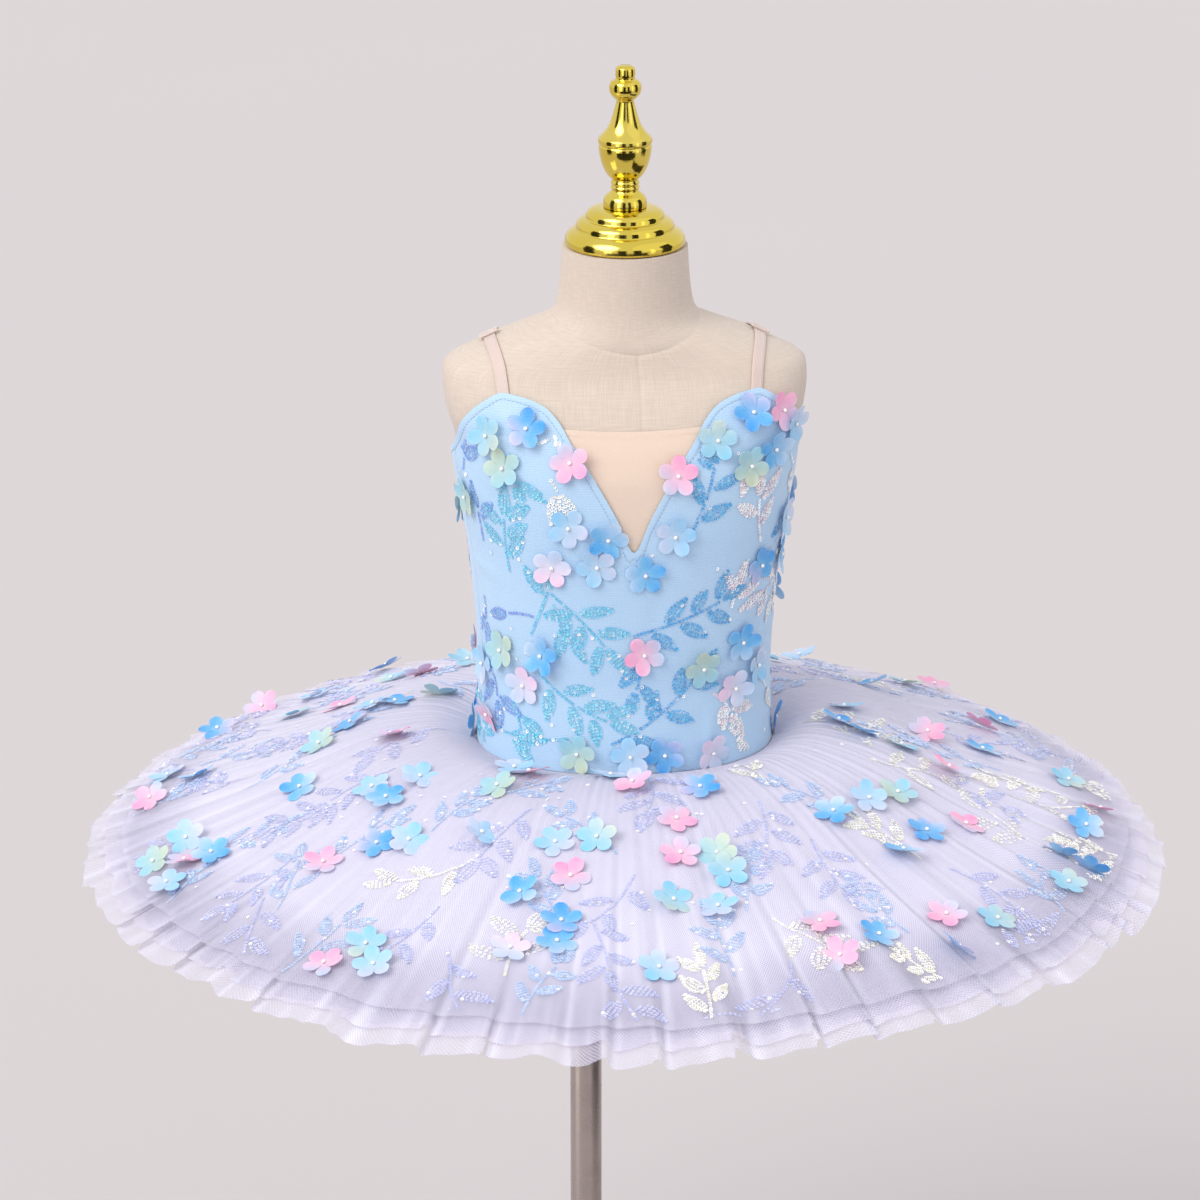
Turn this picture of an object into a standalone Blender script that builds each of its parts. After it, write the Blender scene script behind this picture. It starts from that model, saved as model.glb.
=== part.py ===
"""A child's pancake tutu dress on a limbless dress form with a turned brass finial and a floor stand.

The front faces -Y, +X is the viewer's right and +Z is up. The dress's own axis is x = y = 0 and the floor
is z = 0. Heights named "over the seam" are measured from the waist seam, where bodice and skirt meet.
Bearings are degrees round the body: 0 is the centre front, 90 is the viewer's right.
"""
import math
from typing import NamedTuple

import bmesh
import bpy
import numpy as np
from mathutils import Vector
from mathutils.geometry import delaunay_2d_cdt

MM = 0.001
WAIST_HEIGHT = 720 * MM

# Cloth: how far each layer lies outside the form's surface.
INSERT_GAP = 0.5 * MM
INSERT_THICKNESS = 1.0 * MM
BODICE_GAP = 2.3 * MM
CLOTH_THICKNESS = 1.2 * MM
CLOTH_FACE = BODICE_GAP + CLOTH_THICKNESS
SEAM_GAP = 0.3 * MM
SKIRT_GAP = 0.7 * MM
SOFT_ANGLE = 40

# Bodice and brief.
SIDE_SEAM = 75.0
SIDE_SEAM_HALF_GAP = 0.12
BODICE_COLUMN = 8.0
SIDE_ROWS = (10.0, 205.0)
INSERT_COLUMN = 9.0
INSERT_HALF = 18.0
BACK_COLUMN = 12.0
BRIEF_COLUMN = 10.0
BRIEF_ROWS = (0.0, 0.35, 0.72, 1.0)
BRIEF_BOTTOM = -110 * MM
GUSSET_CENTRE = 12 * MM
GUSSET_WIDTH = 44 * MM
GUSSET_BENDS = (-116 * MM, -121 * MM)

# Skirt.
OVERLAY_RADIUS = 337 * MM
GATHERS = 50
GATHER_LEAN = 0.4
GATHER_START = 0.15
FRONT_SHORTENING = 0.02

# Size of one degree and of one step outwards or upwards on the body and on the skirt, for even triangles.
BODY_GRAIN = (1.7 * MM, 1.0)
SKIRT_GRAIN = (3.2 * MM, 240 * MM)
OUTLINE_MARGIN = 2 * MM
MERGE_DISTANCE = 0.0001 * MM
WELD_DISTANCE = 0.01 * MM

# Flowers on the bodice and the overlay.
PETALS = 5
PETAL_REACH = 13.0 * MM
PETAL_NOTCH = 8.0 * MM
PETAL_CREST = 9.5 * MM
PETAL_EDGE_LIFT = 0.8 * MM
PETAL_LIFT = 3.6 * MM
BEAD_LIFT = 2.6 * MM
FLOWER_MARGIN = 1.5 * MM
FLOWER_CLEARANCE = 3 * MM
BODICE_FLOWER_SPACING = 27.5 * MM
SKIRT_FLOWER_SPACING = 42 * MM

# Straps and their sliders.
STRAP_WIDTH = 8 * MM
STRAP_GAP = 0.4 * MM
STRAP_THICKNESS = 1.0 * MM
STRAP_STEP = 7 * MM
STRAP_START_Y = -90 * MM
STRAP_SEARCH_STEP = 0.05 * MM
STRAP_TURNS = (-100, 60)
HALVINGS = 30
SLOPE_STEP = 0.5 * MM
SLIDER_WIDTH = 12.7 * MM
SLIDER_LENGTH = 7.6 * MM
SLIDER_BAR = 1.3 * MM
SLIDER_THICKNESS = 1.4 * MM

# Form and stand.
FORM_COLUMNS = 26
POLE_X = -25.8 * MM
POLE_RADIUS = 10.8 * MM
POLE_SIDES = 24
COLLAR_RADIUS = 18 * MM
COLLAR_HEIGHT = 24 * MM
COLLAR_CHAMFER = 2 * MM
BASE_RADIUS = 145 * MM
BASE_THICKNESS = 9 * MM
BASE_CHAMFER = 3 * MM
BASE_SIDES = 40
CAP_SIDES = 24
FINIAL_SIDES = 16


class Section(NamedTuple):
    """One level of the form, in mm: its outline is a rounded ellipse, deeper at the front or the back."""

    height: float
    half_width: float
    front: float
    back: float
    squareness: float


FORM_SECTIONS = (
    Section(-125, 88, 70, 78, 2.3),
    Section(-121, 95, 75, 84, 2.3),
    Section(-112, 100, 79, 88, 2.3),
    Section(-80, 104, 82, 91, 2.3),
    Section(-40, 101, 80, 86, 2.3),
    Section(-3, 95.4, 74.5, 78, 2.25),
    Section(22, 94.2, 73.5, 75, 2.2),
    Section(50, 93.8, 73, 73, 2.2),
    Section(82, 95, 75, 72.5, 2.2),
    Section(110, 97.2, 77, 73.5, 2.2),
    Section(138, 100, 79, 76, 2.25),
    Section(166, 104.6, 80, 79, 2.3),
    Section(195, 109.2, 79, 80, 2.35),
    Section(213, 111, 75, 80, 2.4),
    Section(232, 116.5, 67, 76, 2.5),
    Section(248, 118.5, 58, 69, 2.5),
    Section(258, 118, 51.5, 61, 2.4),
    Section(264, 112, 49.5, 57, 2.3),
    Section(270, 99, 48, 53, 2.2),
    Section(277, 84.5, 46.5, 50, 2.1),
    Section(284, 65, 45, 48, 2.0),
    Section(290, 49.5, 43.5, 46, 2.0),
    Section(300, 44, 42, 44, 2.0),
    Section(320, 41.5, 41, 42, 2.0),
    Section(336, 40.5, 40.5, 41, 2.0),
)

# Bodice's top edge, the same on both sides: (bearing, mm over the seam).
FRONT_EDGE = (
    (0, 154), (5.5, 176), (10, 193), (15, 211), (19, 225), (21.5, 236), (26, 246), (33, 251), (39, 252.5),
    (45, 247.5), (54, 237), (65, 222), (75, 211),
)
BACK_EDGE = ((75, 211), (90, 202), (105, 192), (122, 190), (140, 197), (152, 190), (165, 179), (180, 174))
# Sheer insert behind the neckline: half its outline, from the top's middle to its lowest point.
INSERT_EDGE = ((0, 231), (10, 231.5), (23.5, 233), (19.5, 214), (15, 194), (10, 176), (5.5, 156), (0, 142))
# Brief's leg line, the same on both sides.
LEG_LINE = (
    (0, -110), (20, -110), (35, -98), (55, -76), (75, -64), (90, -60), (110, -64), (130, -80),
    (150, -100), (162, -110), (180, -110),
)
# Skirt's rise and fall: (share of the overlay's length, mm over the seam).
SKIRT_FALL = ((0, 0), (0.05, 4.5), (0.12, 8), (0.22, 5), (1.104, -71.5))
# Strap's run over the shoulder: (mm from the centre front to back, mm from the middle).
STRAP_RUN = ((-60, 79), (-50, 80.5), (0, 87.5), (70, 73))
STRAP_FRONT_HEIGHT = 253.2 * MM
STRAP_BACK_HEIGHT = 198 * MM

# Flowers on the bodice's front: (bearing, mm over the seam, turn).
FRONT_FLOWERS = (
    (-32, 232, 10), (37, 238, 30), (-46, 226, 50), (26, 224, 5), (-43, 206, 40), (49, 214, 20),
    (39, 206, 55), (14, 204, 15), (-20, 213, 35), (67, 160, 0), (-68, 178, 25), (-22, 171, 60),
    (14, 165, 10), (-13, 145, 45), (4, 138, 20), (-29, 143, 5), (52, 134, 30), (-35, 80, 12),
    (-55, 77, 42), (-44, 56, 22), (4, 83, 52), (27, 70, 32), (45, 83, 2), (42, 53, 62), (56, 62, 16),
    (-66, 28, 36), (-21, 16, 8), (-1, 16, 26), (12, 16, 48), (31, 16, 66),
)
# Flowers on the bodice's back.
BACK_FLOWERS = (
    (98, 168, 10), (118, 150, 40), (140, 172, 25), (160, 152, 55), (104, 96, 5), (132, 108, 30),
    (158, 96, 50), (180, 120, 15), (-160, 160, 35), (-138, 168, 8), (-118, 146, 60), (-98, 160, 20),
    (-150, 104, 44), (-122, 96, 12), (-100, 60, 28), (110, 34, 38), (140, 50, 18), (172, 44, 58),
    (-140, 46, 2), (-112, 22, 33),
)
# Flowers on the overlay: (bearing, share of the overlay's length, turn).
SKIRT_FLOWERS = (
    (-119, 0.90, 0), (-130, 0.92, 20), (-100, 0.81, 40), (-97, 0.93, 10), (-104, 0.92, 50), (-121, 0.66, 30),
    (-96, 0.44, 60), (-120, 0.49, 15), (-111, 0.26, 45), (-102, 0.36, 5), (-79, 0.51, 35), (-64, 0.37, 25),
    (-57, 0.27, 55), (-49, 0.51, 8), (-54, 0.63, 48), (-79, 0.83, 22), (-73, 0.87, 62), (-77, 0.93, 18),
    (-37, 0.83, 42), (-40, 0.92, 12), (-34, 0.88, 52), (-140, 0.57, 28), (-137, 0.39, 3), (-146, 0.32, 38),
    (-115, 0.14, 58), (-36, 0.21, 16), (-38, 0.10, 46), (-1, 0.15, 6), (16, 0.19, 36), (-32, 0.40, 26),
    (-17, 0.39, 56), (-9, 0.37, 14), (-20, 0.57, 44), (-13, 0.50, 4), (-13, 0.65, 34), (-19, 0.76, 24),
    (7, 0.31, 54), (6, 0.43, 11), (13, 0.44, 41), (10, 0.61, 1), (3, 0.58, 31), (0, 0.80, 21),
    (124, 0.51, 51), (131, 0.79, 9), (131, 0.93, 39), (114, 0.85, 19), (84, 0.18, 49), (93, 0.45, 7),
    (95, 0.62, 37), (80, 0.36, 17), (77, 0.49, 47), (40, 0.39, 27), (50, 0.39, 57), (58, 0.42, 13),
    (53, 0.55, 43), (62, 0.60, 2), (44, 0.58, 32), (23, 0.71, 23), (29, 0.79, 53), (23, 0.83, 10),
    (36, 0.91, 40), (40, 0.80, 20), (46, 0.87, 50), (92, 0.86, 0), (77, 0.88, 30), (85, 0.93, 60),
    (66, 0.85, 15), (66, 0.93, 45), (160, 0.30, 5), (172, 0.52, 35), (165, 0.60, 25), (-172, 0.34, 55),
    (-160, 0.62, 18), (-168, 0.84, 48), (150, 0.84, 8), (176, 0.86, 38), (-150, 0.86, 28), (145, 0.40, 58),
)

# Turned brass: (radius, height over the seam), both in mm, from the bottom up.
CAP_PROFILE = (
    (37.4, 336.3), (38.8, 338.5), (38.8, 347), (37, 350), (33, 351), (32, 355), (30, 356.5), (24.5, 357),
    (23.5, 360), (22, 361),
)
FINIAL_PROFILE = (
    (14, 361.3), (14.2, 363.5), (13, 368), (9.5, 371), (8.6, 372.5), (9.4, 374), (8.6, 375.5), (9.3, 377),
    (8.4, 379), (10.5, 384), (14, 391), (16.5, 399), (17.4, 402), (16.6, 403.3), (17.6, 404.6), (17.5, 408),
    (16.8, 410), (12, 413), (8, 419), (5.5, 425), (5, 430), (7.5, 432), (10.2, 436.5), (10.4, 439),
    (9, 443), (6, 444.6), (6.4, 447), (6.2, 451), (4, 453),
)


class Net(NamedTuple):
    """One gathered net layer under the overlay: its order downwards, its length and its gathers' height."""

    order: int
    length: float
    gather: float


NETS = (Net(1, 1.06, 3.4 * MM), Net(2, 1.104, 3.8 * MM), Net(3, 1.02, 4.0 * MM))
OVERLAY_GATHER = 1.6 * MM
# The gathers' mean height, and how it varies: (times round, share, start in radians).
GATHER_MEAN = 0.8
GATHER_CHANGES = ((7, 0.12, 0.0), (11, 0.08, 1.0))
LAYER_DROP = 2.5 * MM
FIRST_SPREAD = 4.4 * MM
LATER_SPREAD = 0.5 * MM
OVERLAY_ROWS = (0.05, 0.12, 0.22, 0.6)
NET_ROWS = (0.1, 0.24)


class Look(NamedTuple):
    """A plain finish: its colour, roughness and metallic share."""

    colour: tuple
    roughness: float
    metallic: float


LINEN = Look((0.80, 0.70, 0.60), 0.9, 0.0)
BLUE_CLOTH = Look((0.35, 0.60, 0.88), 0.8, 0.0)
NUDE_CLOTH = Look((0.93, 0.72, 0.60), 0.8, 0.0)
TULLE = Look((0.80, 0.78, 0.92), 0.8, 0.0)
OVERLAY_NET = Look((0.86, 0.84, 0.96), 0.7, 0.0)
ELASTIC = Look((0.80, 0.66, 0.58), 0.6, 0.0)
SLIDER_PLASTIC = Look((0.85, 0.72, 0.64), 0.35, 0.0)
BRASS = Look((0.90, 0.68, 0.15), 0.15, 1.0)
STEEL = Look((0.45, 0.42, 0.39), 0.35, 1.0)


def clear_scene():
    """Remove every object, so that the model starts empty."""
    for item in list(bpy.data.objects):
        bpy.data.objects.remove(item, do_unlink=True)


def finish(name, shape, look, smooth_angle=None):
    """Make one named object of a mesh under construction, with its own material."""
    bmesh.ops.recalc_face_normals(shape, faces=shape.faces)
    mesh = bpy.data.meshes.new(name)
    shape.to_mesh(mesh)
    shape.free()
    if smooth_angle is not None:
        mesh.shade_smooth()
        mesh.set_sharp_from_angle(angle=math.radians(smooth_angle))
    material = bpy.data.materials.new(name)
    material.use_nodes = True
    shader = material.node_tree.nodes["Principled BSDF"]
    shader.inputs["Base Color"].default_value = (*look.colour, 1.0)
    shader.inputs["Roughness"].default_value = look.roughness
    shader.inputs["Metallic"].default_value = look.metallic
    mesh.materials.append(material)
    item = bpy.data.objects.new(name, mesh)
    bpy.context.collection.objects.link(item)
    return item


def read_curve(rows, position):
    """Read a two-column table between its rows."""
    places = [row[0] for row in rows]
    values = [row[1] for row in rows]
    return float(np.interp(position, places, values))


def section_at(height):
    """Half width, front depth, back depth (m) and squareness of the form at a height over the seam."""
    heights = [row.height for row in FORM_SECTIONS]
    level = height / MM
    half_width = float(np.interp(level, heights, [row.half_width for row in FORM_SECTIONS]))
    front = float(np.interp(level, heights, [row.front for row in FORM_SECTIONS]))
    back = float(np.interp(level, heights, [row.back for row in FORM_SECTIONS]))
    squareness = float(np.interp(level, heights, [row.squareness for row in FORM_SECTIONS]))
    return half_width * MM, front * MM, back * MM, squareness


def body_point(bearing, height, growth):
    """A point round the form, so far outside its surface, at a height over the seam."""
    half_width, front, back, squareness = section_at(height)
    across = math.sin(math.radians(bearing))
    along = math.cos(math.radians(bearing))
    depth = front if along > 0 else back
    reach = (abs(across) ** squareness + abs(along) ** squareness) ** (-1 / squareness)
    x = across * reach * (half_width + growth)
    y = -along * reach * (depth + growth)
    return Vector((x, y, WAIST_HEIGHT + height))


def beyond_form(x, y, height, growth):
    """How far a point lies outside the form's enlarged outline at its own height: 1 is on it."""
    half_width, front, back, squareness = section_at(height)
    depth = front if y < 0 else back
    return abs(x / (half_width + growth)) ** squareness + abs(y / (depth + growth)) ** squareness


def lathe(name, profile, sides, centre_x, look, smooth_angle=30):
    """Turn a profile of (radius, world height) points, bottom up, into a solid with flat ends."""
    shape = bmesh.new()
    rings = []
    for radius, height in profile:
        ring = []
        for side in range(sides):
            turn = 2 * math.pi * side / sides
            ring.append(shape.verts.new((centre_x + radius * math.cos(turn), radius * math.sin(turn), height)))
        rings.append(ring)
    for lower, upper in zip(rings, rings[1:]):
        for side in range(sides):
            after = (side + 1) % sides
            shape.faces.new((lower[side], lower[after], upper[after], upper[side]))
    shape.faces.new(rings[0])
    shape.faces.new(rings[-1])
    return finish(name, shape, look, smooth_angle)


def triangulate(loop, rings, loose, grain):
    """Triangles inside a closed outline, through rings of points and loose points.

    The points are (u, v) pairs; grain is the size of one step of each, so that triangles come out even.
    """
    points = list(loop)
    edges = [(i, (i + 1) % len(loop)) for i in range(len(loop))]
    for ring in rings:
        first = len(points)
        points += ring
        edges += [(first + i, first + (i + 1) % len(ring)) for i in range(len(ring))]
    points += loose
    flat = [Vector((u * grain[0], v * grain[1])) for u, v in points]
    output = delaunay_2d_cdt(flat, edges, [], 0, MERGE_DISTANCE, True)
    origins = output[3]
    faces = []
    for face in output[2]:
        corners = [origins[corner][0] for corner in face]
        middle = [sum(points[corner][axis] for corner in corners) / 3 for axis in (0, 1)]
        if panel_distance(loop, middle, grain) > 0:
            faces.append(corners)
    return points, faces


def panel_distance(loop, point, grain):
    """Distance from a point to an outline, negative outside it, in the grain's length units."""
    corners = [Vector((u * grain[0], v * grain[1])) for u, v in loop]
    place = Vector((point[0] * grain[0], point[1] * grain[1]))
    inside = False
    nearest = math.inf
    for start, end in zip(corners, corners[1:] + corners[:1]):
        run = end - start
        share = max(0.0, min(1.0, (place - start).dot(run) / run.length_squared))
        nearest = min(nearest, (start + run * share - place).length)
        if (start.y > place.y) != (end.y > place.y):
            crossing = start.x + (place.y - start.y) / (end.y - start.y) * run.x
            if place.x < crossing:
                inside = not inside
    return nearest if inside else -nearest


class Flower:
    """A five-petalled flower raised in a panel's outer skin."""

    def __init__(self, place, grain, bearing, level, turn):
        """Find the flower's place and the panel's directions there."""
        self.u = bearing
        self.v = level
        self.turn = math.radians(turn)
        small_u = MM / grain[0]
        small_v = MM / grain[1]
        self.centre = place(bearing, level, 0.0)
        along_u = (place(bearing + small_u, level, 0.0) - place(bearing - small_u, level, 0.0)) / (2 * small_u)
        along_v = (place(bearing, level + small_v, 0.0) - place(bearing, level - small_v, 0.0)) / (2 * small_v)
        self.step = np.array((along_u, along_v)).T
        self.side = along_u.normalized()
        self.rise = self.side.cross(along_u.cross(along_v)).normalized() * -1

    def point(self, distance, angle):
        """The (u, v) of a point so far from the flower's centre."""
        offset = (self.side * math.cos(angle + self.turn) + self.rise * math.sin(angle + self.turn)) * distance
        change = np.linalg.lstsq(self.step, np.array(offset), rcond=None)[0]
        return self.u + float(change[0]), self.v + float(change[1])

    def outline(self):
        """Ten points round the petals, tips and notches in turn."""
        step = math.pi / PETALS
        return [self.point(PETAL_NOTCH if i % 2 else PETAL_REACH, i * step) for i in range(2 * PETALS)]

    def crests(self):
        """The highest point of each petal."""
        step = 2 * math.pi / PETALS
        return [self.point(PETAL_CREST, i * step) for i in range(PETALS)]


def choose_flowers(rows, place, grain, loop, spacing):
    """Keep the flowers that lie wholly on the panel and clear of the ones before them."""
    chosen = []
    for bearing, level, turn in rows:
        flower = Flower(place, grain, bearing, level, turn)
        on_panel = min(panel_distance(loop, point, grain) for point in flower.outline()) > FLOWER_MARGIN
        apart = all((flower.centre - other.centre).length > spacing for other in chosen)
        if on_panel and apart:
            chosen.append(flower)
    return chosen


def cloth_panel(name, loop, loose, place, thickness, grain, look, flowers=(), joined_at=None):
    """One closed cloth wall: a raised outer skin, an inner skin and the rim between them.

    place(u, v, lift) gives a point over the wall's outer face. A panel that goes all round the body has
    its two side edges at the bearings -joined_at and joined_at, which are welded; its gathers need the
    same facets inside and out, so there the flowers' outlines lie in both skins.
    """
    plain = [point for point in loose if panel_distance(loop, point, grain) > OUTLINE_MARGIN]
    kept = []
    for u, v in plain:
        spot = place(u, v, 0.0)
        if all((spot - flower.centre).length > PETAL_REACH + FLOWER_CLEARANCE for flower in flowers):
            kept.append((u, v))
    outlines = [flower.outline() for flower in flowers]
    raised = []
    for flower in flowers:
        raised += flower.crests()
        raised.append((flower.u, flower.v))
    points, faces = triangulate(loop, outlines, raised + kept, grain)
    outline_end = len(loop) + sum(len(outline) for outline in outlines)
    shape = bmesh.new()
    outer = []
    for index, (u, v) in enumerate(points):
        lift = 0.0
        if len(loop) <= index < outline_end:
            lift = PETAL_EDGE_LIFT
        elif outline_end <= index < outline_end + len(raised):
            within = (index - outline_end) % (PETALS + 1)
            lift = BEAD_LIFT if within == PETALS else PETAL_LIFT
        outer.append(shape.verts.new(place(u, v, lift)))
    for face in faces:
        shape.faces.new([outer[corner] for corner in face])
    under = (outlines, kept) if joined_at is not None else ([], plain)
    plain_points, plain_faces = triangulate(loop, *under, grain)
    inner = [shape.verts.new(place(u, v, -thickness)) for u, v in plain_points]
    for face in plain_faces:
        shape.faces.new([inner[corner] for corner in face])
    for here in range(len(loop)):
        after = (here + 1) % len(loop)
        side_edge = joined_at is not None and abs(loop[here][0]) == joined_at == abs(loop[after][0])
        if not side_edge:
            shape.faces.new((outer[here], outer[after], inner[after], inner[here]))
    if joined_at is not None:
        bmesh.ops.remove_doubles(shape, verts=shape.verts, dist=WELD_DISTANCE)
    return finish(name, shape, look, SOFT_ANGLE)


def ring_wall(name, columns, rows, place, look):
    """One closed cloth wall all round the body, on a plain grid of bearings and rows.

    Every quarter is split along the same diagonal, so that nested gathered layers keep their distance.
    """
    shape = bmesh.new()
    skins = []
    for lift in (0.0, -CLOTH_THICKNESS):
        skins.append([[shape.verts.new(place(bearing, row, lift)) for bearing in columns] for row in rows])
    for skin in skins:
        for near, far in zip(skin, skin[1:]):
            for column in range(len(columns)):
                after = (column + 1) % len(columns)
                shape.faces.new((near[column], near[after], far[after]))
                shape.faces.new((near[column], far[after], far[column]))
    outer, inner = skins
    for row in (0, -1):
        for column in range(len(columns)):
            after = (column + 1) % len(columns)
            shape.faces.new((outer[row][column], outer[row][after], inner[row][after], inner[row][column]))
    return finish(name, shape, look, SOFT_ANGLE)


def body_place(bearing, level, lift):
    """A point over the outer face of cloth that lies on the form; level is in metres over the seam."""
    return body_point(bearing, level, CLOTH_FACE + lift)


def insert_place(bearing, level, lift):
    """A point over the outer face of the neckline's insert."""
    return body_point(bearing, level, INSERT_GAP + INSERT_THICKNESS + lift)


def spread(start, end, step):
    """Even positions from start to end, about a step apart."""
    count = max(1, round((end - start) / step))
    return [start + (end - start) * i / count for i in range(count + 1)]


def body_grid(start, end, step):
    """Loose points on the body: one row at each of the form's sections."""
    return [(bearing, row.height * MM) for row in FORM_SECTIONS for bearing in spread(start, end, step)]


def side_heights():
    """Heights of the side seams' points, upwards."""
    low, high = SIDE_ROWS
    return [row.height * MM for row in FORM_SECTIONS if low < row.height < high]


def build_bodice_front():
    """The front, from side seam to side seam, with its deep notched neckline."""
    edge = [(-bearing, height) for bearing, height in reversed(FRONT_EDGE[1:])] + list(FRONT_EDGE)
    end = SIDE_SEAM - SIDE_SEAM_HALF_GAP
    top = [(max(-end, min(end, bearing)), height * MM) for bearing, height in edge]
    bottom = [(bearing, SEAM_GAP / 2) for bearing in spread(-end, end, BODICE_COLUMN)]
    sides = side_heights()
    left = [(-end, height) for height in reversed(sides)]
    right = [(end, height) for height in sides]
    loop = bottom + right + list(reversed(top)) + left
    rows = [(bearing, height * MM, turn) for bearing, height, turn in FRONT_FLOWERS]
    flowers = choose_flowers(rows, body_place, BODY_GRAIN, loop, BODICE_FLOWER_SPACING)
    loose = body_grid(-end, end, BODICE_COLUMN)
    cloth_panel("bodice_front", loop, loose, body_place, CLOTH_THICKNESS, BODY_GRAIN, BLUE_CLOTH, flowers)


def build_bodice_back():
    """The back, from side seam to side seam, cut low; bearings run on past 180."""
    start = SIDE_SEAM + SIDE_SEAM_HALF_GAP
    end = 360 - start
    edge = list(BACK_EDGE) + [(360 - bearing, height) for bearing, height in reversed(BACK_EDGE[:-1])]
    top = [(max(start, min(end, bearing)), height * MM) for bearing, height in edge]
    bottom = [(bearing, SEAM_GAP / 2) for bearing in spread(start, end, BACK_COLUMN)]
    sides = side_heights()
    left = [(start, height) for height in reversed(sides)]
    right = [(end, height) for height in sides]
    loop = bottom + right + list(reversed(top)) + left
    rows = [(bearing % 360, height * MM, turn) for bearing, height, turn in BACK_FLOWERS]
    flowers = choose_flowers(rows, body_place, BODY_GRAIN, loop, BODICE_FLOWER_SPACING)
    loose = body_grid(start, end, BACK_COLUMN)
    cloth_panel("bodice_back", loop, loose, body_place, CLOTH_THICKNESS, BODY_GRAIN, BLUE_CLOTH, flowers)


def build_neck_insert():
    """The skin-coloured piece that fills the notch, under the bodice's edge."""
    half = [(bearing, height * MM) for bearing, height in INSERT_EDGE]
    loop = half + [(-bearing, height) for bearing, height in reversed(half[1:-1])]
    loose = body_grid(-INSERT_HALF, INSERT_HALF, INSERT_COLUMN)
    cloth_panel("neck_insert", loop, loose, insert_place, INSERT_THICKNESS, BODY_GRAIN, NUDE_CLOTH)


def build_brief():
    """The brief under the skirt, from the waist seam to the leg line, all round."""
    def place(bearing, share, lift):
        waist = -SEAM_GAP / 2
        leg = read_curve(LEG_LINE, abs(bearing)) * MM
        return body_place(bearing, waist + (leg - waist) * share, lift)
    ring_wall("brief", spread(-180.0, 180.0, BRIEF_COLUMN)[:-1], BRIEF_ROWS, place, TULLE)


def build_gusset():
    """The strip between the legs: down the front, under the form and up the back."""
    heights = (BRIEF_BOTTOM - SEAM_GAP, *GUSSET_BENDS, FORM_SECTIONS[0].height * MM)
    bottom = heights[-1]
    stations = [(-1, height) for height in heights] + [(0, bottom)]
    stations += [(1, height) for height in reversed(heights)]
    across = [GUSSET_CENTRE + GUSSET_WIDTH * share for share in (-0.5, 0, 0.5)]
    shape = bmesh.new()
    skins = []
    for growth in (BODICE_GAP, CLOTH_FACE):
        skin = []
        for side, height in stations:
            row = []
            for x in across:
                half_width, front, back, squareness = section_at(height)
                depth = (front if side < 0 else back) + growth
                y = side * depth * (1 - abs(x / (half_width + growth)) ** squareness) ** (1 / squareness)
                drop = growth if height == bottom else 0.0
                row.append(shape.verts.new((x, y, WAIST_HEIGHT + height - drop)))
            skin.append(row)
        skins.append(skin)
    inner, outer = skins
    for skin in skins:
        for row, later in zip(skin, skin[1:]):
            for column in range(2):
                shape.faces.new((row[column], row[column + 1], later[column + 1], later[column]))
    for column in (0, 2):
        for row in range(len(stations) - 1):
            shape.faces.new((inner[row][column], inner[row + 1][column], outer[row + 1][column],
                             outer[row][column]))
    for row in (0, len(stations) - 1):
        for column in range(2):
            shape.faces.new((inner[row][column], inner[row][column + 1], outer[row][column + 1],
                             outer[row][column]))
    finish("gusset", shape, TULLE, SOFT_ANGLE)


def gather_columns():
    """Bearings of every gather's crest and trough, once round."""
    pitch = 360 / GATHERS
    columns = []
    for number in range(GATHERS):
        columns.append(-180 + number * pitch)
        columns.append(-180 + (number + GATHER_LEAN) * pitch)
    return columns + [180.0]


def gather_wave(bearing):
    """The gathers' height at a bearing, from 1 on a crest to -1 in a trough, a little uneven all round."""
    phase = (bearing + 180) / 360 * GATHERS % 1.0
    if phase < GATHER_LEAN:
        wave = 1 - 2 * phase / GATHER_LEAN
    else:
        wave = -1 + 2 * (phase - GATHER_LEAN) / (1 - GATHER_LEAN)
    turn = math.radians(bearing)
    changes = sum(share * math.sin(times * turn + start) for times, share, start in GATHER_CHANGES)
    return wave * (GATHER_MEAN + changes)


def skirt_point(bearing, share, drop, gather, lift):
    """A point over a skirt layer: share is how far out it lies, 1 at the overlay's own radius."""
    root = body_point(bearing, -drop - CLOTH_THICKNESS, CLOTH_FACE + SKIRT_GAP)
    turn = math.radians(bearing)
    rim = Vector((OVERLAY_RADIUS * math.sin(turn), -OVERLAY_RADIUS * math.cos(turn), 0))
    growth = max(0.0, (share - GATHER_START) / (1 - GATHER_START))
    height = read_curve(SKIRT_FALL, share) * MM - drop + gather * growth * gather_wave(bearing)
    place = root.lerp(rim, share)
    return Vector((place.x, place.y, WAIST_HEIGHT + height + lift))


def overlay_place(bearing, share, lift):
    """A point over the embroidered overlay."""
    return skirt_point(bearing, share, 0.0, OVERLAY_GATHER, lift)


def net_place(net):
    """The place function of one net layer."""
    def place(bearing, share, lift):
        spread_out = FIRST_SPREAD + LATER_SPREAD * (net.order - 1)
        return skirt_point(bearing, share, LAYER_DROP * net.order + spread_out * share, net.gather, lift)
    return place


def ring_loop(columns, rows, outer_row):
    """The outline of a layer that goes all round, opened along the centre back."""
    inner = [(bearing, 0.0) for bearing in columns]
    outer = [(bearing, outer_row(bearing)) for bearing in columns]
    left = [(-180.0, share) for share in reversed(rows)]
    right = [(180.0, share) for share in rows]
    return inner + right + list(reversed(outer)) + left


def overlay_edge(bearing):
    """Where the overlay ends: a little shorter at the front."""
    return 1 - FRONT_SHORTENING * max(0.0, math.cos(math.radians(bearing))) ** 2


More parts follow.
